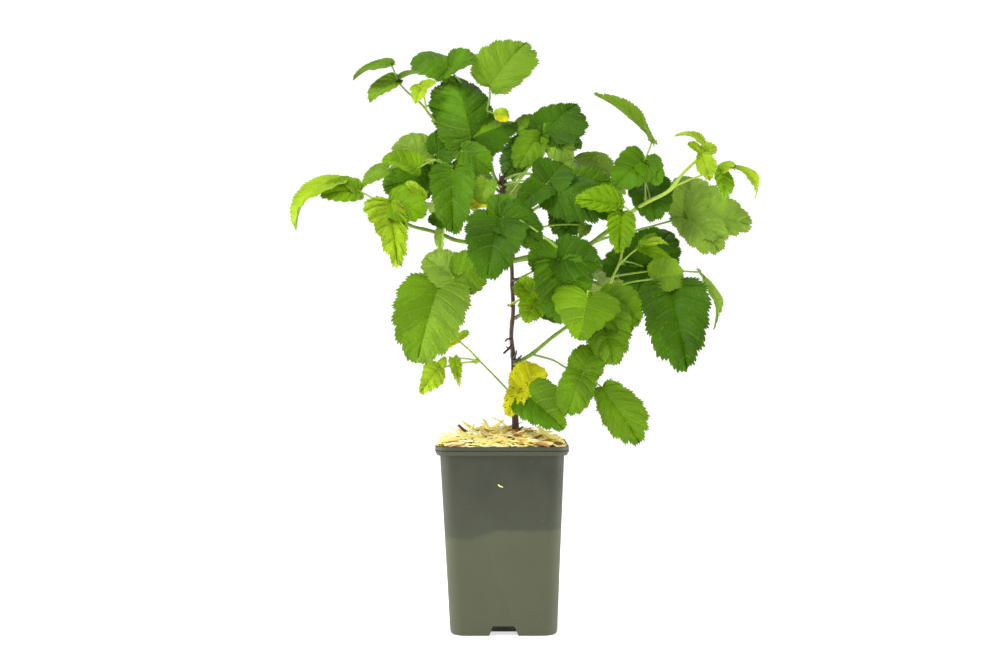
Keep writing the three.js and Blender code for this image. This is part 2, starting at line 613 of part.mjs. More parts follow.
// One compound leaf: a petiole from the mass's stem to the leaf's node, and leaflets from there.
// A leaflet with a stalk stands off from the node, and its stalk runs a little way into its blade.
function compoundLeaf(from, node, blades, tiltOfLeaf, grow = 0) {
  const pieces = [];
  blades.forEach((spec) => {
    const tilt = leafTiltOf(spec.roll, tiltOfLeaf);
    const stalkWay = spec.stalkWay ?? tilted(heading(spec.stalkTurn ?? spec.turn, 0), tilt);
    const base = node.clone().addScaledVector(stalkWay, spec.stalk || rootOffset);
    const axes = spec.axes ?? seenAxes(spec, tilt);
    const size = spec.axes ? spec : {
      ...spec,
      long: spec.long * tiltStretch(spec.turn, tilt),
      wide: spec.wide * tiltStretch(spec.turn + 90, tilt),
    };
    pieces.push(leafletBlade(base, axes, size, grow));
    if (spec.stalk > 0) {
      const root = base.clone().addScaledVector(axes.along, spec.long * rootShare);
      pieces.push(limb([node, base, root], stalkRadii, petioleSides, grow, 1));
    }
  });
  const way = node.clone().sub(from);
  const middle = from.clone().addScaledVector(way, 0.5);
  middle.z += way.length() * petioleRise;
  const end = node.clone().addScaledVector(way.normalize(), petioleRadii[1]);
  pieces.push(limb([from, middle, end], petioleRadii, petioleSides, grow, 1));
  return joinAll(pieces);
}

// A mass is its stem, and every leaf that stays clear of the mass's own leaves, the limbs and the
// other masses
function growMass({ name, line, radii, leaves }) {
  const points = line.map(seen);
  const grown = [limb(points, radii, stemSides).subtract(joinAll(Object.values(sheaths)))];
  leaves.forEach(({ along, node, nodePoint, blades }, index) => {
    const from = placeAlong(points, along);
    const at = nodePoint ?? seen(node);
    const tilt = leafTilt + tiltSwing * Math.sin(tiltStep * index + points[0].x);
    const whole = compoundLeaf(from, at, blades, tilt, sideGap);
    const crossing = whole.intersect(joinAll(grown)).volume();
    if (isClear(whole, name) && crossing < mostCrossing) {
      grown.push(compoundLeaf(from, at, blades, tilt));
    }
  });
  keep(name, joinAll(grown), 'leaf');
}

// Back masses: leaves spread round a stem, each turned on from the last, drooping outwards
function backLeaves({ line, tries, seed: first, space }) {
  seed = first;
  const points = line.map(seen);
  const centre = new THREE.Vector3(...space[0]);
  const reach = new THREE.Vector3(...space[1]);
  const rule = backRule;
  const grown = [];
  for (let i = 0; i < tries; i += 1) {
    const fanShare = 2 * ((i * rule.goldenShare) % 1) - 1;
    const bearing = Math.PI / 2 + radians(rule.fan * fanShare);
    const outward = new THREE.Vector3(Math.cos(bearing), Math.sin(bearing), 0);
    const way = outward.clone().setZ(rule.lift + draw(-rule.liftSwing, rule.liftSwing)).normalize();
    const along = rule.firstShare + ((1 - rule.firstShare) * i) / (tries - 1);
    const nodePoint = placeAlong(points, along).addScaledVector(way, draw(...rule.petiole));
    const blades = [0, 1, -1].map((sign) => {
      const droop = radians(draw(...rule.droop));
      const turn = bearing + sign * radians(rule.sideTurn + draw(-rule.sideSwing, rule.sideSwing));
      const long = draw(...(sign ? rule.side : rule.terminal));
      const level = new THREE.Vector3(Math.cos(turn), Math.sin(turn), 0);
      const alongWay = level.clone().multiplyScalar(Math.cos(droop)).setZ(-Math.sin(droop));
      const upper = level.clone().multiplyScalar(Math.sin(droop)).setZ(Math.cos(droop));
      return {
        axes: { along: alongWay, upper, across: new THREE.Vector3().crossVectors(alongWay, upper) },
        stalkWay: way, long, wide: long * (sign ? rule.sideShare : rule.terminalShare),
        stalk: sign ? 0 : draw(...rule.stalk), roll: 0, arch: rule.arch, fold: rule.fold,
      };
    });
    const tips = blades.map((b) => nodePoint.clone().addScaledVector(b.axes.along, b.long));
    const inside = [nodePoint, ...tips].every((p) => p.clone().sub(centre).divide(reach).length() < 1);
    if (inside) grown.push({ along, nodePoint, blades });
  }
  return grown.slice(0, rule.mostLeaves);
}

keep('pot', makePot(), 'pot');
seed = fill.seed;
keep('fill', makeFill(), 'fill');

const everyMass = [
  ...masses,
  ...backMasses.map((mass) => ({ ...mass, radii: backRule.radii, leaves: backLeaves(mass) })),
];
everyMass.forEach(({ name, line, radii }) => {
  massStems[name] = limb(line.map(seen), radii, stemSides, sideGap);
});
everyMass.forEach(growMass);

// Joining can leave a scrap behind, so each node keeps its largest piece
const plant = new THREE.Group();
Object.entries(solids).forEach(([name, solid]) => {
  const pieces = solid.simplify(finestEdge).decompose().sort((a, b) => b.volume() - a.volume());
  plant.add(meshFromSolid(name, pieces[0], colours[finishes[name]]));
});

// The origin is the middle of the whole plant's box, on the surface that the pot stands on
const root = new THREE.Group();
root.add(plant);
const extent = new THREE.Box3().setFromObject(plant);
const middle = extent.getCenter(new THREE.Vector3());
plant.position.set(-middle.x, -middle.y, -extent.min.z);

export default root;
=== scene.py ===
import math

import bmesh
import bpy
import numpy as np
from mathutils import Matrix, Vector
from mathutils.bvhtree import BVHTree


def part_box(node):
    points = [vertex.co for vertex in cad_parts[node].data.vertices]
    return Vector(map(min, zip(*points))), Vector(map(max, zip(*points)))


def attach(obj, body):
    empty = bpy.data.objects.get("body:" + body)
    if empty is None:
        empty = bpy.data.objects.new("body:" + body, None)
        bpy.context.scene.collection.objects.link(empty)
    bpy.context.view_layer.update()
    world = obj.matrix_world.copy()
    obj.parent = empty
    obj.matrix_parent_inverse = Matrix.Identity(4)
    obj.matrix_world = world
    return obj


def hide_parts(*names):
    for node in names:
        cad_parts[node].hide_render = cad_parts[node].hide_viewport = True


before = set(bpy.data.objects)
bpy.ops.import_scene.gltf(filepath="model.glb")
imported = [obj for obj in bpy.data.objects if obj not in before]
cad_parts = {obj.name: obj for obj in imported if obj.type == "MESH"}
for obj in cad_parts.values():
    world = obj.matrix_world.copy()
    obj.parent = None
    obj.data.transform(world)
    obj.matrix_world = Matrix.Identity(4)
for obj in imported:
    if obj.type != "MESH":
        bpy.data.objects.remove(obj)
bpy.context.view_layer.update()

mm = 0.001
potLow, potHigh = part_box("pot")
potMiddle = (potLow + potHigh) / 2

# the plant is planned in mm as seen from the front, on the upright plane of the pot's front face
view = {"distance": 1550, "eyeHeight": 302.5, "frontDepth": -67}
camera = {"across": -1.6, "eyeHeight": 303.9, "lens": 56.0, "sensor": 36, "farthest": 60}
seeds = {"foliage": 100, "limbs": 300, "compost": 7, "chips": 21}


def tone(red, green, blue):
    # a colour given in screen values, made linear
    return (*(((v / 255 + 0.055) / 1.055) ** 2.4 if v > 10 else v / 3294.6 for v in (red, green, blue)), 1)


def deselect():
    if bpy.context.object and bpy.context.object.mode != "OBJECT":
        bpy.ops.object.mode_set(mode="OBJECT")
    bpy.ops.object.select_all(action="DESELECT")


def pick(obj):
    deselect()
    obj.select_set(True)
    bpy.context.view_layer.objects.active = obj


def place(obj):
    # the piece's place goes into its mesh
    pick(obj)
    bpy.ops.object.transform_apply(location=True, rotation=True, scale=True)


def applyModifier(obj, kind, **settings):
    pick(obj)
    modifier = obj.modifiers.new(kind.lower(), kind)
    for key, value in settings.items():
        setattr(modifier, key, value)
    bpy.ops.object.modifier_apply(modifier=modifier.name)


def selectParts(kind, test):
    # in edit mode: picks the edges or faces that pass the test
    mesh = bmesh.from_edit_mesh(bpy.context.object.data)
    bpy.ops.mesh.select_all(action="DESELECT")
    bpy.ops.mesh.select_mode(type=kind)
    for part in (mesh.edges if kind == "EDGE" else mesh.faces):
        part.select = test(part)
    mesh.select_flush_mode()
    bmesh.update_edit_mesh(bpy.context.object.data)


def finishPiece(obj, slotName, *nodes):
    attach(obj, "root")
    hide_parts(*nodes)


# the plan's coordinates
def seen(point):
    across, up, depth = point
    scale = (view["distance"] - view["frontDepth"] + depth) / view["distance"]
    return np.array([across * scale, depth, view["eyeHeight"] + (up - view["eyeHeight"]) * scale])


def inPlace(points):
    # from the plan, in mm about the pot's middle, to the row frame in metres
    return np.asarray(points, float) * mm + np.array([potMiddle.x, potMiddle.y, potLow.z])


def unit(vector):
    return vector / np.linalg.norm(vector)


def heading(turn, lean):
    t, l = math.radians(turn), math.radians(lean)
    return np.array([math.sin(t) * math.cos(l), -math.sin(l), math.cos(t) * math.cos(l)])


def tilted(way, tilt):
    c, s = math.cos(math.radians(tilt)), -math.sin(math.radians(tilt))
    return np.array([way[0], way[1] * c - way[2] * s, way[1] * s + way[2] * c])


def tiltStretch(turn, tilt):
    return 1 / math.sqrt(1 - (math.sin(math.radians(tilt)) * math.cos(math.radians(turn))) ** 2)


def bladeAxes(along, roll):
    facing = np.array([0.0, -1.0, 0.0])
    facing = unit(facing - along * facing.dot(along))
    skyward = np.cross(along, facing)
    if skyward[2] < 0:
        skyward = -skyward
    upper = facing * math.cos(math.radians(roll)) + skyward * math.sin(math.radians(roll))
    return along, upper, np.cross(along, upper)


def smoothLine(points, stepsPerSpan):
    # a centripetal Catmull-Rom line through the points, as the solids have it
    points = [np.asarray(p, float) for p in points]
    count = len(points)
    line = []
    for span in range(count - 1):
        p1, p2 = points[span], points[span + 1]
        p0 = points[span - 1] if span > 0 else 2 * p1 - p2
        p3 = points[span + 2] if span + 2 < count else 2 * p2 - p1
        d0, d1, d2 = (max(np.linalg.norm(b - a) ** 0.5, 1e-4) for a, b in ((p0, p1), (p1, p2), (p2, p3)))
        t1 = ((p1 - p0) / d0 - (p2 - p0) / (d0 + d1) + (p2 - p1) / d1) * d1
        t2 = ((p2 - p1) / d1 - (p3 - p1) / (d1 + d2) + (p3 - p2) / d2) * d1
        steps = stepsPerSpan + (1 if span == count - 2 else 0)
        for step in range(steps):
            t = step / stepsPerSpan
            line.append((2 * t ** 3 - 3 * t ** 2 + 1) * p1 + (t ** 3 - 2 * t ** 2 + t) * t1
                        + (-2 * t ** 3 + 3 * t ** 2) * p2 + (t ** 3 - t ** 2) * t2)
    return np.array(line)


def placeAlong(points, share):
    line = smoothLine(points, 2)
    spot = share * (len(line) - 1)
    low = min(len(line) - 2, int(spot))
    return line[low] + (line[low + 1] - line[low]) * (spot - low)


class MeshPile:
    # many small shapes joined in one mesh, each face with its own finish

    def __init__(self):
        self.points, self.faces, self.finishes, self.count = [], [], [], 0

    def add(self, points, faces, finishes):
        self.points.append(np.asarray(points, float))
        self.faces.append(np.asarray(faces, int) + self.count)
        self.finishes.append(np.broadcast_to(finishes, (len(faces),)))
        self.count += len(points)

    def make(self, name, materials, angle):
        points = inPlace(np.concatenate(self.points))
        corners = np.concatenate([f.reshape(-1) for f in self.faces])
        sizes = np.concatenate([np.full(len(f), f.shape[1]) for f in self.faces])
        used, slots = np.unique(np.concatenate(self.finishes), return_inverse=True)
        mesh = bpy.data.meshes.new(name)
        mesh.vertices.add(len(points))
        mesh.vertices.foreach_set("co", points.reshape(-1))
        mesh.loops.add(len(corners))
        mesh.loops.foreach_set("vertex_index", corners)
        mesh.polygons.add(len(sizes))
        mesh.polygons.foreach_set("loop_start", np.concatenate([[0], np.cumsum(sizes)[:-1]]))
        for index in used:
            mesh.materials.append(materials[index])
        mesh.polygons.foreach_set("material_index", slots.astype(np.int32))
        mesh.update(calc_edges=True)
        mesh.validate()
        obj = bpy.data.objects.new(name, mesh)
        bpy.context.collection.objects.link(obj)
        pick(obj)
        bpy.ops.object.shade_smooth_by_angle(angle=math.radians(angle))
        return obj


def tube(line, radii, sides, wobble=None):
    # a round tapering tube along the line, closed by a point at each end
    line = np.asarray(line, float)
    count = len(line)
    tangents = np.gradient(line, axis=0)
    tangents /= np.linalg.norm(tangents, axis=1)[:, None]
    radius = np.interp(np.linspace(0, 1, count), np.linspace(0, 1, len(radii)), radii)
    normal = np.array([0.2, 1.0, 0.1])
    points = []
    angles = np.linspace(0, 2 * math.pi, sides, endpoint=False)
    for i in range(count):
        normal = unit(normal - tangents[i] * normal.dot(tangents[i]))
        other = np.cross(tangents[i], normal)
        ring = radius[i] * (1 if wobble is None else wobble(i / (count - 1), angles))
        across, beside = np.outer(ring * np.cos(angles), normal), np.outer(ring * np.sin(angles), other)
        points.append(line[i] + across + beside)
    points = np.concatenate(points + [[line[0] - tangents[0] * radius[0] * 0.3],
                                      [line[-1] + tangents[-1] * radius[-1] * 0.5]])
    ring = np.arange(sides)
    after = (ring + 1) % sides
    quads = [np.stack([a + ring, a + after, a + sides + after, a + sides + ring], 1)
             for a in range(0, (count - 1) * sides, sides)]
    first = np.full(sides, count * sides)
    ends = np.concatenate([np.stack([first, after, ring], 1),
                           np.stack([first + 1, (count - 1) * sides + ring, (count - 1) * sides + after], 1)])
    return points, np.concatenate(quads), ends


def addTube(pile, line, radii, sides, finish, wobble=None):
    points, quads, ends = tube(line, radii, sides, wobble)
    pile.add(points, quads, finish)
    pile.faces.append(ends + pile.count - len(points))
    pile.finishes.append(np.full(len(ends), finish))


# finishes
class Finish:
    # a node material; what feeds a socket is another node's output or a plain value

    def __init__(self, name, **values):
        self.material = bpy.data.materials.new(name)
        self.material.use_nodes = True
        self.nodes, self.links = self.material.node_tree.nodes, self.material.node_tree.links
        self.shader = self.nodes["Principled BSDF"]
        self.feed(self.shader, values)

    def feed(self, node, values):
        for key, value in values.items():
            if isinstance(value, bpy.types.NodeSocket):
                self.links.new(value, node.inputs[key])
            else:
                node.inputs[key].default_value = value

    def add(self, kind, values, **settings):
        node = self.nodes.new(kind)
        for key, value in settings.items():
            setattr(node, key, value)
        self.feed(node, values)
        return node

    def place(self):
        return self.nodes.new("ShaderNodeTexCoord").outputs["Object"]

    def noise(self, scale, detail=3, roughness=0.5, stretch=None):
        place = self.place()
        if stretch:
            place = self.add("ShaderNodeMapping", {"Vector": place, "Scale": stretch}).outputs["Vector"]
        return self.add("ShaderNodeTexNoise", {
            "Vector": place, "Scale": scale, "Detail": detail, "Roughness": roughness}).outputs["Fac"]

    def cells(self, scale, feature="F1"):
        values = {"Vector": self.place(), "Scale": scale}
        return self.add("ShaderNodeTexVoronoi", values, feature=feature).outputs["Distance"]

    def spread(self, source, low, high, fromLow=0, fromHigh=1):
        return self.add("ShaderNodeMapRange", {
            "Value": source, "To Min": low, "To Max": high, "From Min": fromLow, "From Max": fromHigh,
        }).outputs["Result"]

    def combine(self, operation, first, second, clamp=False):
        values = {0: first, 1: second}
        return self.add("ShaderNodeMath", values, operation=operation, use_clamp=clamp).outputs["Value"]

    def mix(self, share, first, second):
        values = {"Factor": share, "A": first, "B": second}
        return self.add("ShaderNodeMix", values, data_type="RGBA").outputs["Result"]

    def ramp(self, source, stops):
        # the first two stops are the ramp's own ends, and others lie between them
        node = self.add("ShaderNodeValToRGB", {"Fac": source})
        for index, (spot, colour) in enumerate(stops):
            stop = node.color_ramp.elements[index] if index < 2 else node.color_ramp.elements.new(spot)
            stop.position, stop.color = spot, tone(*colour)
        return node.outputs["Color"]

    def relief(self, height, strength, distance):
        bump = self.add("ShaderNodeBump", {"Height": height, "Strength": strength, "Distance": distance})
        self.feed(self.shader, {"Normal": bump.outputs["Normal"]})


leafSkin = {"sheen": 90, "gloss": (0.38, 0.56), "veinNet": 230, "netRelief": (0.75, 0.0012), "specular": 0.1}
stalkSkin = {"sheen": 60, "gloss": (0.4, 0.55), "fibres": {"scale": 700, "stretch": (1, 1, 0.2)},
             "fibreRelief": (0.25, 0.0002)}


def leafFinish(name, colour, skin=leafSkin):
    # a plain base colour, with the fine net of veins and the uneven sheen of a leaf
    finish = Finish(name, **{"Base Color": tone(*colour), "Specular IOR Level": skin["specular"]})
    finish.feed(finish.shader, {"Roughness": finish.spread(finish.noise(skin["sheen"]), *skin["gloss"])})
    finish.relief(finish.cells(skin["veinNet"], "DISTANCE_TO_EDGE"), *skin["netRelief"])
    return finish.material


def stalkFinish(name, colour, skin=stalkSkin):
    finish = Finish(name, **{"Base Color": tone(*colour)})
    finish.feed(finish.shader, {"Roughness": finish.spread(finish.noise(skin["sheen"]), *skin["gloss"])})
    finish.relief(finish.noise(**skin["fibres"]), *skin["fibreRelief"])
    return finish.material


def grainFinish(name, skin, colour=None):
    # one grain gives the gloss and the relief, and the colour where no plain one is named
    finish = Finish(name)
    grain = finish.noise(*skin["grain"])
    base = tone(*colour) if colour else finish.ramp(grain, skin["stops"])
    finish.feed(finish.shader, {"Base Color": base, "Roughness": finish.spread(grain, *skin["rough"])})
    finish.relief(grain, *skin["relief"])
    return finish.material


# each tint: the blade, the blade beside its veins, the veins, and the paler underside
tints = {
    "dark": ((56, 93, 2), (59, 97, 3), (74, 111, 7), (95, 119, 23)),
    "deep": ((73, 113, 5), (77, 116, 7), (92, 128, 15), (99, 123, 31)),
    "mid": ((89, 125, 10), (93, 130, 12), (108, 142, 25), (103, 125, 38)),
    "fresh": ((105, 139, 27), (109, 142, 29), (122, 153, 45), (103, 131, 39)),
    "bright": ((105, 144, 5), (108, 148, 7), (122, 158, 21), (116, 148, 37)),
    "lime": ((142, 171, 28), (146, 175, 32), (160, 185, 56), (134, 159, 64)),
    "grey": ((115, 146, 44), (119, 150, 48), (132, 159, 62), (126, 153, 62)),
    "yellow": ((191, 189, 19), (195, 193, 26), (201, 199, 50), (183, 181, 60)),
    "warm": ((110, 146, 8), (113, 150, 12), (130, 164, 26), (109, 136, 33)),
}
leafLayers = ("blade", "near", "vein", "under", "light", "dim")
patches = {"light": 1.09, "dim": 0.9}
finishNumber = {}
plantMaterials = []
for tintName, colours in tints.items():
    patchColours = [tuple(v * share for v in colours[0]) for share in patches.values()]
    for layer, colour in zip(leafLayers, (*colours, *patchColours)):
        finishNumber[tintName, layer] = len(plantMaterials)
        plantMaterials.append(leafFinish(f"leaf_{tintName}_{layer}", colour))
for stalkName, colour in {
    "petiole": (128, 160, 46), "shoot": (112, 144, 34), "lime_shoot": (150, 178, 50),
    "leaf_spot": (64, 74, 22), "dry_scale": (96, 66, 40), "dead_twig": (58, 40, 32),
}.items():
    finishNumber[stalkName] = len(plantMaterials)
    plantMaterials.append(stalkFinish(stalkName, colour))
print("finishes ready")


# leaflets
leafShape = {
    "veins": 7, "small": 34, "outlineSteps": 12,
    # the margin: teeth that lean to the tip, on scallops between the side veins, easing out at both ends
    "tooth": 0.088, "toothPower": 0.75, "toothSwing": (0.85, 1.15), "lean": 0.55, "toothFrom": 0.9,
    "innerTooth": 0.35, "toothEase": (0.1, 0.05), "end": 1.002, "scallop": 0.055, "scallopPower": 0.7,
    "scallopMiddle": 0.6, "scallopEase": 0.14, "lobe": 0.05, "lobeTurns": 1.3,
    # the surface: crowned between the veins, waved at the edge, warped as a whole, finely crinkled
    "thickness": 0.42, "thickFrom": 45, "midrib": 0.5, "midribFrom": 50, "midribTaper": 0.75,
    "midribShare": (0.005, 0.1), "veinSweep": 0.035, "bulge": 0.032, "bulgePower": 0.7, "bulgeFall": 0.75,
    "bulgeGain": 2.2, "groove": 0.012, "grooveSharp": 8, "wave": 0.034, "waveTurns": 1.4, "warp": 0.03,
    "warpTurns": 2.2, "tipDroop": 0.07, "droopFrom": 0.55, "droopOver": 0.2,
    "crinkle": 0.011, "crinkleAcross": (0.85, 1.7, 0.5), "crinkleAlong": (0.95, 1.3, 0.7),
    # half outlines: share of width, share of length, and where that rib leaves the midrib
    "outlines": {
        "round": [(0.012, -0.004, 0.0), (0.10, -0.07, 0.001), (0.24, -0.095, 0.004), (0.38, -0.045, 0.01),
                  (0.47, 0.08, 0.02), (0.505, 0.25, 0.055), (0.5, 0.44, 0.16), (0.455, 0.61, 0.31),
                  (0.375, 0.76, 0.48), (0.26, 0.875, 0.65), (0.125, 0.955, 0.83), (0.004, 1.0, 0.99)],
        "broad": [(0.012, -0.004, 0.0), (0.10, -0.06, 0.001), (0.24, -0.07, 0.004), (0.38, -0.01, 0.01),
                  (0.46, 0.12, 0.02), (0.5, 0.30, 0.06), (0.505, 0.50, 0.17), (0.475, 0.67, 0.32),
                  (0.40, 0.81, 0.49), (0.28, 0.91, 0.66), (0.13, 0.975, 0.83), (0.004, 1.0, 0.99)],
        "ovate": [(0.012, -0.004, 0.0), (0.11, -0.06, 0.001), (0.26, -0.075, 0.004), (0.40, -0.01, 0.01),
                  (0.48, 0.12, 0.02), (0.5, 0.28, 0.06), (0.485, 0.45, 0.18), (0.43, 0.60, 0.33),
                  (0.335, 0.74, 0.50), (0.215, 0.86, 0.68), (0.09, 0.95, 0.84), (0.004, 1.0, 0.99)],
        "pointed": [(0.012, -0.004, 0.0), (0.11, -0.06, 0.001), (0.26, -0.07, 0.004), (0.40, 0.0, 0.01),
                    (0.475, 0.10, 0.02), (0.5, 0.22, 0.05), (0.475, 0.34, 0.13), (0.41, 0.47, 0.26),
                    (0.32, 0.61, 0.43), (0.215, 0.75, 0.61), (0.10, 0.89, 0.81), (0.004, 1.0, 0.99)],
        "cordate": [(0.012, -0.004, 0.0), (0.09, -0.15, 0.001), (0.22, -0.25, 0.004), (0.36, -0.23, 0.01),
                    (0.465, -0.12, 0.02), (0.5, 0.03, 0.05), (0.475, 0.20, 0.14), (0.395, 0.38, 0.28),
                    (0.30, 0.55, 0.45), (0.20, 0.72, 0.63), (0.095, 0.88, 0.82), (0.004, 1.0, 0.99)],
        "shield": [(0.012, -0.004, 0.0), (0.11, -0.05, 0.001), (0.26, -0.06, 0.004), (0.40, 0.0, 0.01),
                   (0.475, 0.12, 0.02), (0.5, 0.28, 0.06), (0.5, 0.45, 0.16), (0.475, 0.60, 0.31),
                   (0.42, 0.72, 0.47), (0.30, 0.82, 0.64), (0.15, 0.91, 0.82), (0.004, 1.0, 0.99)],
        "rhomb": [(0.012, -0.002, 0.0), (0.09, -0.03, 0.001), (0.19, -0.02, 0.004), (0.29, 0.05, 0.01),
                  (0.385, 0.17, 0.03), (0.465, 0.31, 0.09), (0.5, 0.46, 0.19), (0.465, 0.60, 0.33),
                  (0.375, 0.73, 0.50), (0.25, 0.85, 0.68), (0.12, 0.945, 0.84), (0.004, 1.0, 0.99)],
        "lobed": [(0.012, -0.004, 0.0), (0.12, -0.06, 0.001), (0.27, -0.06, 0.004), (0.40, 0.01, 0.01),
                  (0.455, 0.13, 0.02), (0.49, 0.27, 0.06), (0.515, 0.42, 0.16), (0.455, 0.54, 0.27),
                  (0.40, 0.67, 0.41), (0.31, 0.79, 0.56), (0.17, 0.90, 0.73), (0.004, 1.0, 0.99)],
    },
    # one period of the margin, from valley to valley: place, and how far its tooth stands out
    "period": [(0.0, 0.0), (0.09, 0.7), (0.15, 0.8), (0.2, 0.0), (0.28, 0.8), (0.35, 0.95), (0.4, 0.1),
               (0.45, 0.8), (0.49, 1.2), (0.52, 1.2), (0.56, 0.8), (0.62, 0.1), (0.7, 0.8), (0.77, 0.95),
               (0.82, 0.0), (0.88, 0.7), (0.94, 0.75)],
    "smallPeriod": [(0.0, 0.0), (0.14, 0.8), (0.21, 0.85), (0.28, 0.0), (0.42, 0.8), (0.485, 1.2),
                    (0.52, 1.2), (0.58, 0.8), (0.68, 0.0), (0.8, 0.8), (0.88, 0.85)],
    "columns": [0.0, 0.0, 0.15, 0.32, 0.5, 0.68, 0.83, 0.93, 1.0],
}


def marginRows(rng, shape, small):
    # rows along the half outline: place, tooth, phase between two veins, and the vein's own strip
    period = shape["smallPeriod"] if small else shape["period"]
    veins = shape["veins"] - (1 if small else 0)
    spread = np.cumsum(rng.uniform(0.8, 1.2, veins))
    starts = np.concatenate([[0], spread / spread[-1]])
    rows = []
    for k in range(veins):
        for share, tooth in period:
            place = starts[k] + (starts[k + 1] - starts[k]) * share
            rows.append((place, tooth * rng.uniform(0.7, 1.25), (share - 0.5) % 1, share in (0.49, 0.485)))
    rows.append((1.0, 0.0, 0.5, False))
    return (np.array(column) for column in zip(*rows))


def halfLeaflet(rng, shape, spec, sign, rows, waves):
    # places across, along and above the leaflet's own plane for one half, midrib first
    long, wide = spec["long"], spec["wide"] * (1 - sign * spec["skew"])
    places, tooth, phase, _ = rows
    # one outline for both halves, or one for the left and one for the right
    kind = spec["outline"] if isinstance(spec["outline"], str) else spec["outline"][(sign + 1) // 2]
    outline = np.array(shape["outlines"][kind])
    edge = np.stack([outline[:, 0] * wide, outline[:, 1] * long, outline[:, 2]], 1)
    fine = smoothLine(edge, shape["outlineSteps"])
    run = np.concatenate([[0], np.cumsum(np.linalg.norm(np.diff(fine[:, :2], axis=0), axis=1))])
    margin = np.stack([np.interp(places, run / run[-1], fine[:, i]) for i in range(3)], 1)
    slope = np.gradient(margin[:, :2], axis=0)
    slope /= np.linalg.norm(slope, axis=1)[:, None]
    outward = np.stack([slope[:, 1], -slope[:, 0]], 1)
    toTip = shape["end"] - places
    ease = np.minimum(1, np.minimum(places / shape["toothEase"][0], toTip / shape["toothEase"][1]))
    size = tooth * ease * long ** shape["toothPower"] * shape["tooth"]
    size *= rng.uniform(*shape["toothSwing"], len(places))
    teeth = (outward + shape["lean"] * slope) * size[:, None]
    inner = np.stack([np.zeros(len(places)), margin[:, 2] * long], 1)
    reach = np.linalg.norm(margin[:, :2] - inner, axis=1)
    rib = shape["midrib"] * (1 - shape["midribTaper"] * places) * min(1, long / shape["midribFrom"])
    lobe = 1 + shape["lobe"] * np.sin(2 * math.pi * shape["lobeTurns"] * places + waves[5] + 3 * sign)
    scallop = np.abs(np.cos(math.pi * phase)) ** shape["scallopPower"] - shape["scallopMiddle"]
    lobe += shape["scallop"] * scallop * np.minimum(1, toTip / shape["scallopEase"])
    x, y, h = (np.zeros((len(places), len(shape["columns"]))) for _ in range(3))
    for j, share in enumerate(shape["columns"]):
        v = np.full(len(places), share)
        if j == 1:
            v = np.clip(rib / np.maximum(reach, 0.1), *shape["midribShare"])
        spot = inner + (margin[:, :2] * lobe[:, None] - inner) * v[:, None]
        sweep = shape["veinSweep"] * long * 4 * v * (1 - v)
        spot[:, 1] -= sweep * np.sin(math.pi * np.clip(places, 0, 1)) ** 0.5
        if share > shape["toothFrom"]:
            spot += teeth * (1 if share == 1 else shape["innerTooth"])
        x[:, j], y[:, j] = spot[:, 0], spot[:, 1]
        pucker = long * spec["pucker"]
        bulge = np.sin(math.pi * phase) ** shape["bulgePower"] * pucker * shape["bulge"]
        h[:, j] = bulge * v * (1 - shape["bulgeFall"] * v) * shape["bulgeGain"]
        h[:, j] -= shape["groove"] * pucker * (1 - v) ** shape["grooveSharp"]
        wave = np.sin(2 * math.pi * shape["waveTurns"] * places + waves[0] + 2 * sign)
        h[:, j] += shape["wave"] * long * v ** 2 * wave
    share = y / long
    h += 4 * spec["arch"] * long * share * (1 - share) + x * math.sin(math.radians(spec["fold"]))
    droop = np.clip(share - shape["droopFrom"], 0, 1) ** 2 / shape["droopOver"]
    h -= shape["tipDroop"] * long * droop
    for n in range(2):
        turns = (2 + n) * shape["warpTurns"] * x / wide * sign
        h += shape["warp"] * long * 0.5 * np.sin(turns + waves[1 + n] + (3 + 2 * n) * share + waves[3 + n])
    # fine crinkles between the side veins
    (turnsX, bendX, pullX), (turnsY, bendY, pullY) = shape["crinkleAcross"], shape["crinkleAlong"]
    ripple = np.sin(x * turnsX + bendX * np.sin(y * pullX + waves[1]))
    ripple *= np.sin(y * turnsY + bendY * np.sin(x * pullY))
    h += shape["crinkle"] * long * spec["pucker"] * ripple * np.sin(math.pi * np.minimum(1, x / wide * 2))
    return x * math.cos(math.radians(spec["fold"])) * sign, y, h


# where the lighter and dimmer patches start, and the waves that lay them out
patchRule = {
    "light": 0.75, "dim": -0.85, "across": (4.1, 3.7), "along": (6.3, 5), "bend": (1.3, 2), "grit": 0.5,
}
# brown spots on a yellow leaflet that is long enough
leafSpots = {"from": 26, "count": 12, "radius": 0.8}


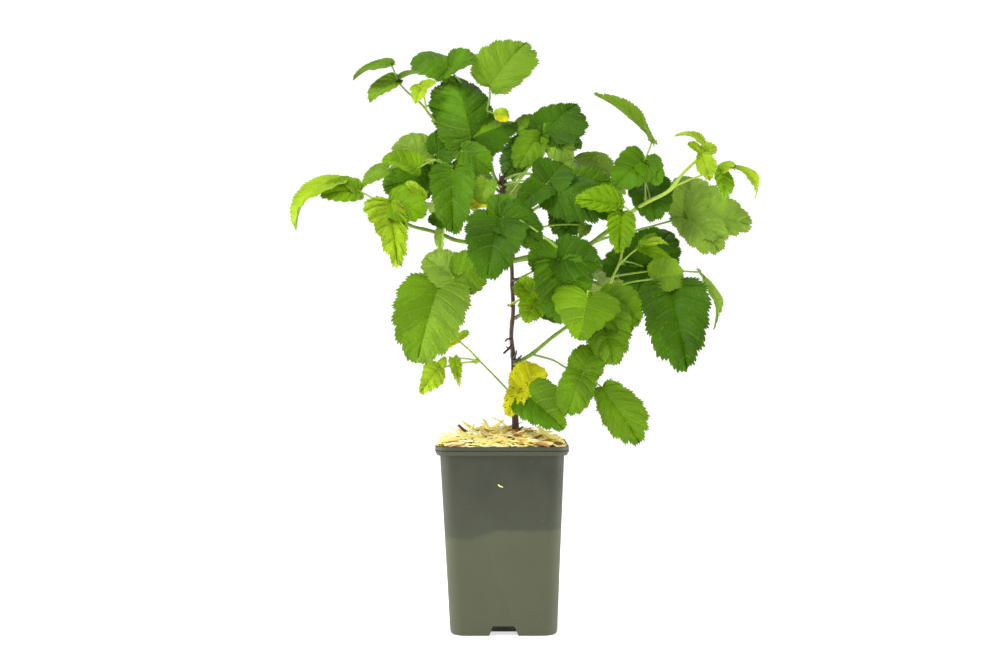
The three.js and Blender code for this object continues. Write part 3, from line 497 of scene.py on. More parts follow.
def leafletBlade(pile, rng, base, axes, spec, tint):
    # a thin closed blade in its own toothed outline, puckered between its veins
    shape = leafShape
    along, upper, across = axes
    long, wide = spec["long"], spec["wide"]
    rows = tuple(marginRows(rng, shape, long < shape["small"]))
    onVein = rows[3].astype(bool)
    waves = rng.uniform(0, 2 * math.pi, 6)
    left, right = (halfLeaflet(rng, shape, spec, sign, rows, waves) for sign in (-1, 1))
    x, y, h = (np.concatenate([a[:, :0:-1], b], 1) for a, b in zip(left, right))
    rowCount, width = x.shape
    half = (width + 1) // 2
    h -= h[0, half - 1]

    top = (base + y[..., None] * along + x[..., None] * across + h[..., None] * upper).reshape(-1, 3)
    low = top - shape["thickness"] * min(1, long / shape["thickFrom"]) * upper
    inside = np.zeros((rowCount, width), bool)
    inside[1:-1, 1:-1] = True
    number = np.arange(rowCount * width).reshape(rowCount, width)
    lowNumber = number.copy()
    lowNumber[inside] = rowCount * width + np.arange(inside.sum())
    points = np.concatenate([top, low[inside.reshape(-1)]])

    def quads(grid, flip):
        cells = [grid[:-1, :-1], grid[:-1, 1:], grid[1:, 1:], grid[1:, :-1]]
        return np.stack([c.reshape(-1) for c in (cells[::-1] if flip else cells)], 1)

    # the plain colours are dealt out by place: veins, the blade beside them, the rest, and the underside
    column = np.abs(np.arange(width - 1) - (half - 1.5))
    # a leaflet may take a green for each half: a paler and a darker green paint one half lit and the other in
    # shade across its fold (painted light and shade); lime with yellow is the leaflet's own yellowing
    halfTints = (tint, tint) if isinstance(tint, str) else tint
    leftHalf = np.broadcast_to(np.arange(width - 1) < half - 1, (rowCount - 1, width - 1))

    def ofTint(name):
        return np.where(leftHalf, *(finishNumber[part, name] for part in halfTints))

    layer = ofTint("blade")
    (turnsX, pullX), (turnsY, pullY), (bendX, bendY) = (patchRule[key] for key in ("across", "along", "bend"))
    patch = np.sin(turnsX * x / wide + waves[0] + bendX * np.sin(pullY * y / long + waves[1]))
    patch += np.sin(turnsY * y / long + waves[2] + bendY * np.sin(pullX * x / wide + waves[3]))
    patch = (patch + rng.uniform(-patchRule["grit"], patchRule["grit"], patch.shape))[:-1, :-1]
    beside = np.zeros_like(leftHalf)
    beside[np.roll(onVein[:-1], 1) | np.roll(onVein[:-1], -1)] = True
    beside[:, column < 1.5] = True
    strip = np.zeros_like(leftHalf)
    strip[onVein[:-1]] = True
    strip[:, column > half - 3.2] = False
    strip[:, column < 1] = True
    for name, where in (("light", patch > patchRule["light"]), ("dim", patch < patchRule["dim"]),
                        ("near", beside), ("vein", strip)):
        layer = np.where(where, ofTint(name), layer)
    if tint == "yellow" and long > leafSpots["from"]:
        centres = rng.uniform((-0.4, 0.1), (0.4, 0.9), (leafSpots["count"], 2)) * (wide, long)
        middle = np.stack([(x[:-1, :-1] + x[1:, 1:]) / 2, (y[:-1, :-1] + y[1:, 1:]) / 2], -1)
        near = np.linalg.norm(middle[:, :, None] - centres, axis=-1).min(-1)
        layer[near < leafSpots["radius"]] = finishNumber["leaf_spot"]
    under = np.where(strip, ofTint("vein"), ofTint("under"))
    pile.add(points, quads(number, False), layer.reshape(-1))
    pile.faces.append(quads(lowNumber, True) + pile.count - len(points))
    pile.finishes.append(under.reshape(-1))


# the plant's plan, on the same nodes as the solids'
leafPlan = {
    "tilt": 24, "tiltSwing": 9, "tiltStep": 2.4, "fullRoll": 45,
    "rootOffset": 0.2, "rootShare": 0.06, "rootSink": 0.3,
    "petioleRise": 0.04, "petioleEnd": 0.9, "petiole": [1.25, 0.95, 0.85, 1.05], "stalk": [0.95, 0.8, 0.55],
    "sides": 9, "petioleSteps": 7, "stalkSteps": 5, "twigSides": 12, "twigSteps": 9, "smooth": 60,
    "stipule": {"along": 2.2, "spread": 0.7, "long": (4, 7), "bow": 0.5, "radii": [0.35, 0.42, 0.08],
                "sides": 5, "steps": 3},
}


def blade(turn, long, wide, lean=0, roll=0, tint=None, outline="round", stalk=0, stalkTurn=None,
          arch=0.05, fold=12, pucker=None, skew=0):
    return dict(turn=turn, long=long, wide=wide, lean=lean, roll=roll, tint=tint, outline=outline,
                stalk=stalk, stalkTurn=stalkTurn, arch=arch, fold=fold, pucker=pucker, skew=skew)


def leaf(along, node, tint, *blades, pucker=1.0):
    return dict(along=along, node=node, tint=tint, blades=blades, pucker=pucker)


limbs = {
    "stem": dict(finish="bark", radii=[3.9, 2.9, 2.4, 2.7, 2.1, 2.0, 1.9, 2.0, 2.4, 3.9], line=[
        (14.5, 204, 0), (12.8, 236, 0), (12, 256, 1), (12, 276, 2), (10, 300, 0), (11.5, 330, -1),
        (10.5, 362, 1), (7, 400, 3), (3.5, 432, 3), (1, 453, 3)]),
    "low_right_shoot": dict(finish="shoot", radii=[2.2, 1.9, 1.7], line=[
        (12, 273, 1), (29.5, 283, -4), (50.5, 300, -8), (65.5, 311, -9), (90, 331, -7)]),
    "right_shoot": dict(finish="shoot", radii=[2.9, 2.7, 2.4, 2.2], line=[
        (9.5, 376, 2), (40, 382, -8), (80.5, 389, -16), (108.5, 408, -22), (125, 422, -24)]),
    "left_shoot": dict(finish="shoot", radii=[2.3, 2.0], line=[
        (8.5, 386, 2), (-20, 393, -3), (-46.5, 397, -9), (-60, 403, -12)]),
    "upper_left_shoot": dict(finish="shoot", radii=[1.8, 1.4], line=[
        (2, 441, 4), (-15, 457, 16), (-38, 480, 24), (-58, 505, 14), (-70, 520, 6)]),
    "top_shoot": dict(finish="shoot", radii=[1.8, 1.5], line=[
        (2, 447, 3), (-6, 458, 5), (-11, 472, 6), (-14.5, 486, 6)]),
    "upper_right_shoot": dict(finish="lime_shoot", radii=[1.7, 1.4], line=[
        (3, 438, 4), (14, 452, 10), (25, 467, 8), (34, 482, 0)]),
    "back_low_shoot": dict(finish="shoot", radii=[1.9, 1.5], line=[
        (11, 318, 0), (32, 330, 22), (57, 350, 48)]),
    "back_left_shoot": dict(finish="shoot", radii=[1.9, 1.5], line=[
        (8, 392, 3), (-20, 410, 24), (-50, 430, 50)]),
    "back_right_shoot": dict(finish="shoot", radii=[1.9, 1.5], line=[
        (6, 410, 3), (24, 422, 24), (46, 436, 50)]),
}

masses = {
    "top_foliage": dict(radii=[1.5, 1.1], line=[(-14.5, 485.7, 6), (-17, 511, 10), (-11.5, 540, 9)], leaves=[
        leaf(1, (-12, 549.5, 9), "fresh", blade(36, 66, 57, outline=("pointed", "shield"), skew=0.04)),
        # the big folded leaf's two leaflets take a darker green on their right halves: painted shade on top
        # of the fold's own shading
        leaf(0.3, (-30.5, 498, -6), "deep",
             blade(-13, 72, 74, 0, 6, ("deep", "dark"), outline=("broad", "ovate"), arch=0.08, fold=-30,
                   pucker=1.8),
             blade(62, 53, 46, -8, 6, ("mid", "dark"), fold=-30)),
        leaf(0.6, (-52, 568, 16), "deep", blade(-72, 39, 33, 4, outline="broad", fold=-16),
             blade(94, 31, 34, 34, 4)),
        leaf(0.75, (-6, 522, -1), "yellow", blade(92, 16, 14, -18, tint=("lime", "yellow"))),
    ]),
    "upper_left_foliage": dict(radii=[1.3, 0.9], line=[
        (-70, 519.8, 6), (-80.5, 533, 4), (-94.5, 545, 2), (-101, 552, 0)], leaves=[
        leaf(1, (-103.5, 556, -1), "mid", blade(-106, 43, 33, 0, 66, stalk=17, stalkTurn=-24),
             blade(-127, 38, 27, 6, 44, "fresh"), blade(72, 26, 22, 6, 72)),
        leaf(0.15, (-79.5, 549, -3), "lime", blade(-162, 20, 15, 8, 10, outline="ovate"),
             blade(66, 15, 12, 0, 20), blade(-98, 12, 8, 0, 10)),
    ]),
    "upper_right_foliage": dict(radii=[1.4, 1.0], line=[
        (34, 481.7, 0), (38, 492, 4), (39.5, 500, 7)], leaves=[
        leaf(1, (39.5, 502, 8), "mid",
             blade(48, 46, 50, 5, tint="dark", outline=("cordate", "shield"), stalk=6, skew=-0.22),
             blade(102, 41, 28, -10, tint="dark", stalk=2),
             blade(-147, 45, 33, 6, 4, outline="rhomb"),
             blade(130, 34, 32, -4, 2, "grey", outline="rhomb", stalk=9), blade(-54, 35, 27, -16),
             blade(-127, 66, 34, -38, tint="dark")),
    ]),
    "centre_right_foliage": dict(radii=[1.2, 0.9], line=[
        (3, 446, 3), (18.5, 461, -10), (33.5, 462, -20), (45.5, 451, -32)], leaves=[
        leaf(1, (45, 452.5, -34), "dark", blade(-132, 34, 31, 4), blade(32, 28, 42),
             blade(118, 70, 50, 6, stalk=6, fold=-16)),
        leaf(0.55, (66, 448, -10), "dark", blade(79, 46, 32, tint="deep"), blade(-173, 40, 38),
             blade(-10, 37, 26, -8, tint="grey"), blade(-176, 32, 34, -12, stalk=22)),
    ]),
    "front_foliage": dict(radii=[1.3, 1.0], line=[(7, 400, 3), (4, 410, -36), (0, 416, -74)], leaves=[
        leaf(1, (-1.5, 418, -78), "dark", blade(-169, 56, 60, arch=0.08),
             blade(122, 44, 38, -6), blade(-2, 28, 24, tint="deep"), blade(84, 40, 31, -12)),
    ]),
    "middle_foliage": dict(radii=[1.3, 0.9], line=[
        (5.5, 413, 3), (13, 421, -22), (21, 412, -40), (33, 399, -48), (54, 380, -54)], leaves=[
        leaf(1, (55.5, 378, -55), "dark", blade(-92, 31, 36, tint="deep"), blade(94, 42, 44),
             blade(170, 56, 56, -16, tint="deep", stalk=4), blade(128, 46, 28, -26)),
        leaf(0.6, (86, 412, -20), "grey", blade(-152, 17, 12, outline="lobed")),
    ]),
    "lower_middle_foliage": dict(radii=[1.4, 1.1], line=[
        (88, 329.5, -7), (94, 340, -34), (90, 346, -62), (86, 346, -76)], leaves=[
        leaf(1, (85.5, 341, -80), "bright",
             blade(-169, 44, 71, 4, tint=("mid", "bright"), outline="cordate", arch=0.09, fold=-12)),
        leaf(0.3, (98, 336, -22), "mid", blade(118, 48, 46), blade(170, 56, 52, -2, stalk=7)),
    ]),
    "stem_foliage": dict(radii=[1.0, 0.8], line=[(11, 332, -1), (19, 338, -12), (33, 337, -22)], leaves=[
        leaf(1, (34.5, 337, -24), "warm", blade(-42, 29, 25), blade(-155, 26, 27, 4),
             blade(116, 36, 30, -12, tint="deep")),
    ]),
    "low_right_foliage": dict(radii=[1.2, 0.8], line=[
        (29.5, 283, -4), (38.5, 281, -16), (52, 277, -26), (64, 270, -34), (78, 265, -40)], leaves=[
        leaf(1, (80.5, 264, -42), "mid", blade(24, 30, 38), blade(-159, 43, 37),
             blade(149, 69, 43, 4, outline="rhomb", stalk=25, stalkTurn=127, skew=0.04)),
    ]),
    "low_front_foliage": dict(radii=[1.0, 0.9], line=[
        (12.3, 262, 1), (15, 256, -14), (18.5, 250, -32)], leaves=[
        leaf(1, (18.5, 248.5, -35), "yellow", blade(38, 31, 35), blade(-158, 29, 22, 4),
             blade(136, 54, 44, 4, tint=("mid", "deep"), stalk=6)),
    ]),
    "low_sprig": dict(radii=[1.0, 0.8], line=[
        (12.8, 240, 0), (3, 251, -8), (-11.5, 266, -18), (-21.5, 276, -24)], leaves=[
        leaf(1, (-43.5, 297, -28), "lime", blade(46, 15, 8, 0, 10), blade(-126, 18, 7, tint="yellow")),
        leaf(1, (-48, 279, -36), "lime", blade(168, 31, 12, 6, 6, outline="pointed")),
        leaf(1, (-61.5, 269, -28), "lime", blade(-142, 30, 27, outline=("rhomb", "pointed"), pucker=2),
             blade(24, 13, 9, tint="lime")),
    ]),
    "left_foliage": dict(radii=[2.0, 1.4], line=[
        (-59.7, 402.9, -12), (-74.5, 407, -18), (-90, 411, -24), (-103, 419, -28), (-111, 430, -30)], leaves=[
        leaf(1, (-111.5, 434, -32), "bright",
             blade(172, 65, 42, 0, 8, "lime", outline=("rhomb", "pointed"), pucker=2.2, skew=-0.34),
             blade(110, 40, 38), blade(-44, 22, 12, 10, 10, "lime", stalk=34, stalkTurn=80)),
        leaf(0.85, (-142.5, 446, -24), "fresh",
             blade(-135, 67, 35, 4, 55, "lime", stalk=23, stalkTurn=-65, arch=0.2),
             blade(-103, 41, 27, 14, 8, "bright"), blade(-56, 23, 17, 6, 36)),
        leaf(0.08, (-57, 414, -20), "grey", blade(-172, 30, 14, 0, 50), blade(-68, 17, 16, tint="dark")),
    ]),
    "inner_left_foliage": dict(radii=[1.4, 1.0], line=[
        (2.5, 434, 3), (-20, 450, 2), (-45, 468, 0), (-66, 477, -4)], leaves=[
        leaf(1, (-82.5, 469, -12), "bright", blade(-76, 38, 30, 4, 40)),
        leaf(1, (-113, 468, -2), "fresh", blade(-122, 31, 23, 4, 40)),
        leaf(0.9, (-69, 481, 14), "grey", blade(-72, 42, 32)),
        leaf(0.8, (-60, 464, 18), "deep", blade(-104, 60, 40)),
        leaf(0.7, (-66, 482, 6), "dark", blade(56, 39, 34, 8)),
    ]),
    "centre_left_foliage": dict(radii=[1.3, 1.0], line=[
        (3, 426, 3), (-12, 441, -20), (-32, 458, -36)], leaves=[
        leaf(1, (-49, 467, -40), "deep", blade(179, 62, 44)),
        leaf(0.6, (-14, 456, -46), "fresh", blade(-162, 24, 23)),
        leaf(0.4, (-11, 434, -50), "yellow", blade(-96, 24, 16, 6)),
        leaf(0.9, (-40, 486, -20), "deep", blade(127, 40, 28)),
    ]),
    "left_low_foliage": dict(radii=[1.4, 1.0], line=[
        (9.3, 374, 1), (-10, 382, -28), (-32, 378, -52), (-45, 362, -66)], leaves=[
        leaf(1, (-46.5, 360, -68), "fresh",
             blade(-165, 74, 71, tint=("fresh", "mid"), outline="broad", stalk=17, stalkTurn=-119, arch=0.07),
             blade(-50, 40, 38, -10, tint="grey"), blade(80, 35, 42, tint="mid")),
    ]),
    "right_foliage": dict(radii=[2.1, 1.8, 1.3], finish="lime_shoot", line=[
        (124.8, 421.8, -24), (143.5, 434, -30), (166.5, 446, -36),
        (180.5, 463, -42), (197, 479, -47)], leaves=[
        leaf(0.05, (120.5, 431, -56), "bright", blade(-82, 46, 29, 0, 6, outline="rhomb", pucker=2.2),
             blade(-174, 44, 28, 6, tint="bright", outline="ovate", stalk=9, pucker=2)),
        leaf(0.25, (142.5, 476, -32), "deep",
             blade(-46, 75, 33, 0, 62, "fresh", outline="lobed", stalk=22, stalkTurn=19),
             blade(-131, 40, 40), blade(152, 28, 27, 6), blade(127, 27, 9, -10, 30, "mid")),
        leaf(0.3, (144, 453, -6), "dark", blade(171, 38, 47)),
        leaf(1, (200, 483, -48), "lime", blade(-66, 31, 18, 0, 58, stalk=8, stalkTurn=20, arch=0.16),
             blade(-56, 18, 10, 16, 20), blade(58, 17, 14), blade(170, 31, 20, 4, outline="rhomb")),
        leaf(0.55, (218, 466, -46), "bright", blade(172, 30, 22, 0, 34), blade(60, 16, 12, 0, 20, "lime"),
             blade(146, 38, 17, 0, 52, "lime", stalk=14, stalkTurn=80, arch=0.24)),
    ]),
    "far_right_foliage": dict(radii=[1.3, 1.0], line=[
        (81.5, 389.5, -16), (104, 399, -2), (135.5, 407, 10), (180, 419, 18)], leaves=[
        leaf(1, (182.5, 420, 18), "grey", blade(12, 46, 44),
             blade(97, 66, 60, outline="lobed", stalk=2), blade(146, 54, 44, 8)),
    ]),
    "outer_right_foliage": dict(radii=[1.5, 1.1], finish="lime_shoot", line=[
        (89.8, 330.8, -7), (105.5, 347, -3), (111.5, 361, -1), (117.5, 374, 1), (120.5, 386, 3)], leaves=[
        leaf(0.7, (139, 391, -8), "lime",
             blade(52, 21, 9, 0, 20, "fresh"), blade(124, 36, 14, 6, tint="bright"),
             blade(86, 29, 8, 4, 30, arch=0.22)),
        leaf(0.25, (150, 358, -30), "deep", blade(86, 32, 36, 6, tint="fresh"),
             blade(173, 83, 72, tint="dark", outline=("pointed", "shield"), stalk=20, stalkTurn=120)),
        leaf(0.5, (197, 365, -4), "grey", blade(162, 62, 15, 4, 58, outline="pointed", arch=0.13)),
        leaf(0.8, (142, 370, 16), "dark", blade(34, 50, 52), blade(-88, 45, 34),
             blade(-165, 38, 34, -8, tint="deep")),
    ]),
}

# masses round the back grow by rule: a leaf at each joint, turned on by the golden share
backMasses = {
    "back_low_foliage": dict(seed=19, tries=14, space=[(84, 100, 358), (62, 100, 58)],
                             line=[(57.1, 350.4, 48.3), (70, 358, 74), (74, 368, 100)]),
    "back_left_foliage": dict(seed=107, tries=14, space=[(-68, 100, 468), (70, 100, 62)],
                              line=[(-50.3, 430.2, 50.3), (-64, 444, 74), (-68, 458, 100)]),
    "back_right_foliage": dict(seed=23, tries=14, space=[(60, 100, 474), (72, 100, 66)],
                               line=[(46.3, 436.2, 50.3), (58, 446, 74), (60, 462, 100)]),
}
backRule = {
    "fan": 95, "goldenShare": 0.618, "petiole": (22, 40), "lift": 0.3, "liftSwing": 0.9, "radii": [1.4, 1.0],
    "firstJoint": 0.15, "turnSwing": 8, "arch": 0.07,
    "terminal": (52, 68), "terminalShare": 0.86, "side": (38, 50), "sideShare": 0.8, "stalk": (12, 18),
    "sideTurn": 72, "droop": (8, 34), "mostLeaves": 4, "tints": ["deep", "mid", "dark", "fresh", "mid"],
    "nearSolid": 2.5,
}
drawRule = {"factor": 16807, "modulus": 2147483647}
drawSeed = 1


def draw(low, high):
    # the solids' own small repeatable generator
    global drawSeed
    drawSeed = drawSeed * drawRule["factor"] % drawRule["modulus"]
    return low + (high - low) * drawSeed / drawRule["modulus"]


def backLeaves(mass):
    global drawSeed
    drawSeed = mass["seed"]
    rule = backRule
    points = [seen(p) for p in mass["line"]]
    centre, reach = (np.array(part, float) for part in mass["space"])
    grown = []
    for i in range(mass["tries"]):
        bearing = math.pi / 2 + math.radians(rule["fan"] * (2 * (i * rule["goldenShare"] % 1) - 1))
        lift = rule["lift"] + draw(-rule["liftSwing"], rule["liftSwing"])
        way = unit(np.array([math.cos(bearing), math.sin(bearing), lift]))
        along = rule["firstJoint"] + (1 - rule["firstJoint"]) * i / (mass["tries"] - 1)
        node = placeAlong(points, along) + way * draw(*rule["petiole"])
        blades = []
        for sign in (0, 1, -1):
            droop = math.radians(draw(*rule["droop"]))
            swing = draw(-rule["turnSwing"], rule["turnSwing"])
            turn = bearing + sign * math.radians(rule["sideTurn"] + swing)
            long = draw(*(rule["side"] if sign else rule["terminal"]))
            level = np.array([math.cos(turn), math.sin(turn), 0])
            alongWay = level * math.cos(droop) - np.array([0, 0, math.sin(droop)])
            upper = level * math.sin(droop) + np.array([0, 0, math.cos(droop)])
            wide = long * (rule["sideShare"] if sign else rule["terminalShare"])
            spec = blade(0, long, wide, arch=rule["arch"])
            spec.update(axes=(alongWay, upper, np.cross(alongWay, upper)), stalkWay=way,
                        stalk=0 if sign else draw(*rule["stalk"]))
            blades.append(spec)
        spots = [node] + [node + b["axes"][0] * b["long"] for b in blades]
        if all(np.linalg.norm((p - centre) / reach) < 1 for p in spots):
            tint = rule["tints"][len(grown) % len(rule["tints"])]
            grown.append(dict(along=along, nodePoint=node, blades=blades, tint=tint, pucker=1.0))
    return grown[:rule["mostLeaves"]]


def inSolid(name, spec):
    # keeps a leaf that the solids have: its blades' middles lie close to the mass's solid
    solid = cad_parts[name].data
    tree = BVHTree.FromPolygons([v.co for v in solid.vertices], [tuple(p.vertices) for p in solid.polygons])
    for b in spec["blades"]:
        base = spec["nodePoint"] + b["stalkWay"] * (b["stalk"] or leafPlan["rootOffset"])
        spot = base + b["axes"][0] * b["long"] * 0.5 + b["axes"][1] * b["arch"] * b["long"]
        if tree.find_nearest(Vector(inPlace([spot])[0]))[3] > backRule["nearSolid"] * mm:
            return False
    return True


# growing
def leafTiltOf(roll, tilt):
    return tilt * max(0, 1 - roll / leafPlan["fullRoll"])


def bladePlace(node, spec, leafTilt):
    # where a leaflet's blade starts, its own axes, and its size once it leans back
    tilt = leafTiltOf(spec["roll"], leafTilt)
    if "axes" in spec:
        stalkWay, axes, size = spec["stalkWay"], spec["axes"], dict(spec)
    else:
        stalkTurn = spec["turn"] if spec["stalkTurn"] is None else spec["stalkTurn"]
        stalkWay = tilted(heading(stalkTurn, 0), tilt)
        axes = [tilted(a, tilt) for a in bladeAxes(heading(spec["turn"], spec["lean"]), spec["roll"])]
        size = dict(spec, long=spec["long"] * tiltStretch(spec["turn"], tilt),
                    wide=spec["wide"] * tiltStretch(spec["turn"] + 90, tilt))
    return node + stalkWay * (spec["stalk"] or leafPlan["rootOffset"]), axes, size


def stipules(twigs, rng, spot, way, finish):
    # a narrow green scale at each side of a petiole's foot
    plan = leafPlan["stipule"]
    for sign in (-1, 1):
        side = unit(np.cross(way, [0, -1, 0.2]) + 1e-6) * sign
        tip = spot + unit(way + side * plan["spread"]) * rng.uniform(*plan["long"])
        line = smoothLine([spot, (spot + tip) / 2 + side * plan["bow"], tip], plan["steps"])
        addTube(twigs, line, plan["radii"], plan["sides"], finish)


def growLeaf(leaves, twigs, rng, points, spec, index):
    plan = leafPlan
    start = placeAlong(points, spec["along"])
    node = spec["nodePoint"] if "nodePoint" in spec else seen(spec["node"])
    leafTilt = plan["tilt"] + plan["tiltSwing"] * math.sin(plan["tiltStep"] * index + points[0][0])
    young = spec["tint"] in ("lime", "bright")
    finish = finishNumber["lime_shoot" if young else "petiole"]
    for b in spec["blades"]:
        base, axes, size = bladePlace(node, b, leafTilt)
        size["pucker"] = b["pucker"] or spec["pucker"]
        leafletBlade(leaves, rng, base, axes, size, b["tint"] or spec["tint"])
        if b["stalk"] > 0:
            root = base + axes[0] * size["long"] * plan["rootShare"] - axes[1] * plan["rootSink"]
            line = smoothLine([node, base - axes[1] * plan["rootSink"] / 2, root], plan["stalkSteps"])
            addTube(twigs, line, plan["stalk"], plan["sides"], finish)
    way = node - start
    middle = start + way * 0.5 + np.array([0, 0, np.linalg.norm(way) * plan["petioleRise"]])
    end = node + unit(way) * plan["petioleEnd"]
    line = smoothLine([start, middle, end], plan["petioleSteps"])
    addTube(twigs, line, plan["petiole"], plan["sides"], finish)
    stipules(twigs, rng, start + unit(way) * plan["stipule"]["along"], unit(way), finish)


twigRelief = {"joints": 5, "swell": 0.13, "swellReach": 0.035, "ridges": 5, "ridge": 0.03}


def twigWobble(rng):
    # a green shoot is a little ribbed and swells at its joints
    phase = rng.uniform(0, 6)
    joints = twigRelief["joints"]
    places = (np.arange(joints) + rng.uniform(0.2, 0.8, joints)) / joints

    def wobble(share, angles):
        swell = twigRelief["swell"] * np.exp(-((places - share) / twigRelief["swellReach"]) ** 2).sum()
        return 1 + swell + twigRelief["ridge"] * np.cos(twigRelief["ridges"] * angles + phase)
    return wobble


def growFoliage(mass, leafSpecs, seedNumber):
    rng = np.random.default_rng(seedNumber)
    leaves, twigs = MeshPile(), MeshPile()
    points = [seen(p) for p in mass["line"]]
    addTube(twigs, smoothLine(points, leafPlan["twigSteps"]), mass.get("radii", backRule["radii"]),
            leafPlan["twigSides"], finishNumber[mass.get("finish", "shoot")], twigWobble(rng))
    for index, spec in leafSpecs:
        growLeaf(leaves, twigs, rng, points, spec, index)
    return leaves, twigs


for number, (name, mass) in enumerate([*masses.items(), *backMasses.items()]):
    if name in masses:
        specs = list(enumerate(mass["leaves"]))
    else:
        specs = [(i, s) for i, s in enumerate(backLeaves(mass)) if inSolid(name, s)]
    leafPile, twigPile = growFoliage(mass, specs, seeds["foliage"] + number)
    leavesObj = leafPile.make(f"{name}_leaves", plantMaterials, leafPlan["smooth"])
    finishPiece(leavesObj, "leaf", name)
    twigsObj = twigPile.make(f"{name}_twigs", plantMaterials, leafPlan["smooth"])
    finishPiece(twigsObj, "green_shoot", name)
    print("grown", name, len(specs), "leaves", len(leavesObj.data.polygons), "faces")


# cane and shoots
bark = {
    "sides": 28, "stepsPerSpan": 26, "furrow": 0.1, "furrows": range(3, 8), "twist": 9, "grain": 7,
    "grainDepth": 0.03, "grainTwist": 60, "knots": [0.12, 0.27, 0.36, 0.5, 0.63, 0.78, 0.9],
    "knotReach": 0.012, "knotSwell": 0.16, "knotSide": 0.5, "sway": 0.5, "swayTurns": 38, "smooth": 70,
    "deadSides": 8, "deadSteps": 5,
}
barkSkin = {
    "grain": (150, 6, 0.6, (1, 1, 0.18)), "rough": (0.62, 0.85), "relief": (0.6, 0.0006),
    "stops": [(0.3, (38, 24, 20)), (0.75, (112, 84, 58)), (0.52, (72, 48, 36))],
}
shootRule = {
    "steps": 12, "sides": 14, "scales": 3, "scaleAt": 0.6, "scaleForward": 1.3, "scaleLong": (2, 3.6),
    "scaleRadii": [1.3, 0.9, 0.2], "scaleSides": 6, "scaleSteps": 3,
}

# dry buds, the feet of old twigs, and what was left where the cane was cut back
deadTwigs = [
    dict(line=[(10, 298, -1), (6.5, 298.5, -4), (3.5, 296, -6)], radii=[1.5, 0.9, 0.8]),
    dict(line=[(10.5, 292, -1), (6.5, 288, -5), (2, 284, -8)], radii=[1.6, 1.2, 1.0]),
    dict(line=[(6.5, 289, -5), (4.5, 291, -7)], radii=[0.9, 0.5]),
    dict(line=[(12, 276, -1), (16, 278, -5), (20, 282, -7)], radii=[1.7, 1.3, 0.8]),
    dict(line=[(12, 279, -1), (14.5, 284, -5), (15, 287, -6)], radii=[1.3, 1.0, 0.6]),
    dict(line=[(17, 279, -6), (19, 276.5, -8)], radii=[1.0, 0.6]),
    dict(line=[(11.5, 357, -1), (16, 357.5, -5), (20, 358, -6)], radii=[2.1, 1.8, 1.4]),
    dict(line=[(16, 358, -4), (22, 361, -7), (31, 365.5, -9)], radii=[1.3, 1.1, 0.8], finish="petiole"),
    dict(line=[(11, 331, -1), (8, 332, -4), (6, 332, -5)], radii=[1.5, 1.2, 0.9]),
    dict(line=[(6.5, 331, -4), (12, 335, -7), (17, 337, -9)], radii=[0.9, 0.8, 0.6], finish="lime_shoot"),
    dict(line=[(1, 448, 3), (1.2, 455, 2), (0.6, 460, 2)], radii=[3.6, 4.3, 3.4]),
    dict(line=[(1, 449, 2), (-2.5, 452, -1), (-4.6, 454, -2)], radii=[2.6, 2.4, 1.6]),
    dict(line=[(2, 457, 1), (4.5, 459, 0), (6, 461, 0)], radii=[2, 1.6, 0.8]),
    dict(line=[(-1, 458, 0), (-2, 462, -1), (-1, 464, -1)], radii=[1.0, 0.7, 0.4], finish="dry_scale"),
    dict(line=[(2, 452, -1), (14, 455, -8), (27, 456, -16), (42, 453, -26)], radii=[1.2, 1.0, 1.1],
         finish="petiole"),
    dict(line=[(2, 457, 0), (14, 462, -6), (28, 463.5, -12), (40, 458, -20)], radii=[1.2, 1.0, 1.0],
         finish="petiole"),
    dict(line=[(0, 450, -2), (-12, 455, -12), (-24, 457, -20)], radii=[1.1, 0.9, 0.8], finish="petiole"),
    dict(line=[(18, 417, -88), (36, 405, -84), (55, 390, -62)], radii=[1.0, 1.1, 1.3], finish="petiole"),
    dict(line=[(14, 208, 0), (9, 204, -8), (4, 200.5, -12)], radii=[1.2, 1.1, 0.9]),
    dict(line=[(8, 200, -13), (14, 205, -14), (21, 211, -14)], radii=[1.1, 1.5, 0.9]),
]


def barkWobble(rng):
    phases = rng.uniform(0, 2 * math.pi, bark["furrows"].stop)

    def wobble(share, angles):
        ring = np.ones_like(angles)
        for n in bark["furrows"]:
            ring += bark["furrow"] / n * np.sin(n * angles + phases[n] + bark["twist"] * share * math.cos(n))
        ring += bark["grainDepth"] * np.sin(angles * bark["grain"] + bark["grainTwist"] * share)
        knots = sum(math.exp(-((share - k) / bark["knotReach"]) ** 2) for k in bark["knots"])
        return ring + bark["knotSwell"] * knots * (1 + bark["knotSide"] * np.cos(angles + phases[0]))
    return wobble


def caneTubes(pile, rng, shoot):
    line = smoothLine([seen(p) for p in shoot["line"]], bark["stepsPerSpan"])
    upward = np.linspace(0, 1, len(line))
    line[:, 0] += bark["sway"] * np.sin(bark["swayTurns"] * upward) * upward
    addTube(pile, line, shoot["radii"], bark["sides"], finishNumber["bark"], barkWobble(rng))
    for bit in deadTwigs:
        addTube(pile, smoothLine([seen(p) for p in bit["line"]], bark["deadSteps"]), bit["radii"],
                bark["deadSides"], finishNumber[bit.get("finish", "dead_twig")], twigWobble(rng))


def shootTubes(pile, rng, shoot):
    # a green shoot, with dry scales round its foot
    line = smoothLine([seen(p) for p in shoot["line"]], shootRule["steps"])
    addTube(pile, line, shoot["radii"], shootRule["sides"], finishNumber[shoot["finish"]], twigWobble(rng))
    foot = line[0] + (line[2] - line[0]) * shootRule["scaleAt"]
    for _ in range(shootRule["scales"]):
        way = unit(rng.normal(0, 1, 3) + shootRule["scaleForward"] * unit(line[4] - line[0]))
        points = [foot, *(foot + way * long for long in shootRule["scaleLong"])]
        addTube(pile, smoothLine(points, shootRule["scaleSteps"]), shootRule["scaleRadii"],
                shootRule["scaleSides"], finishNumber["dry_scale"])


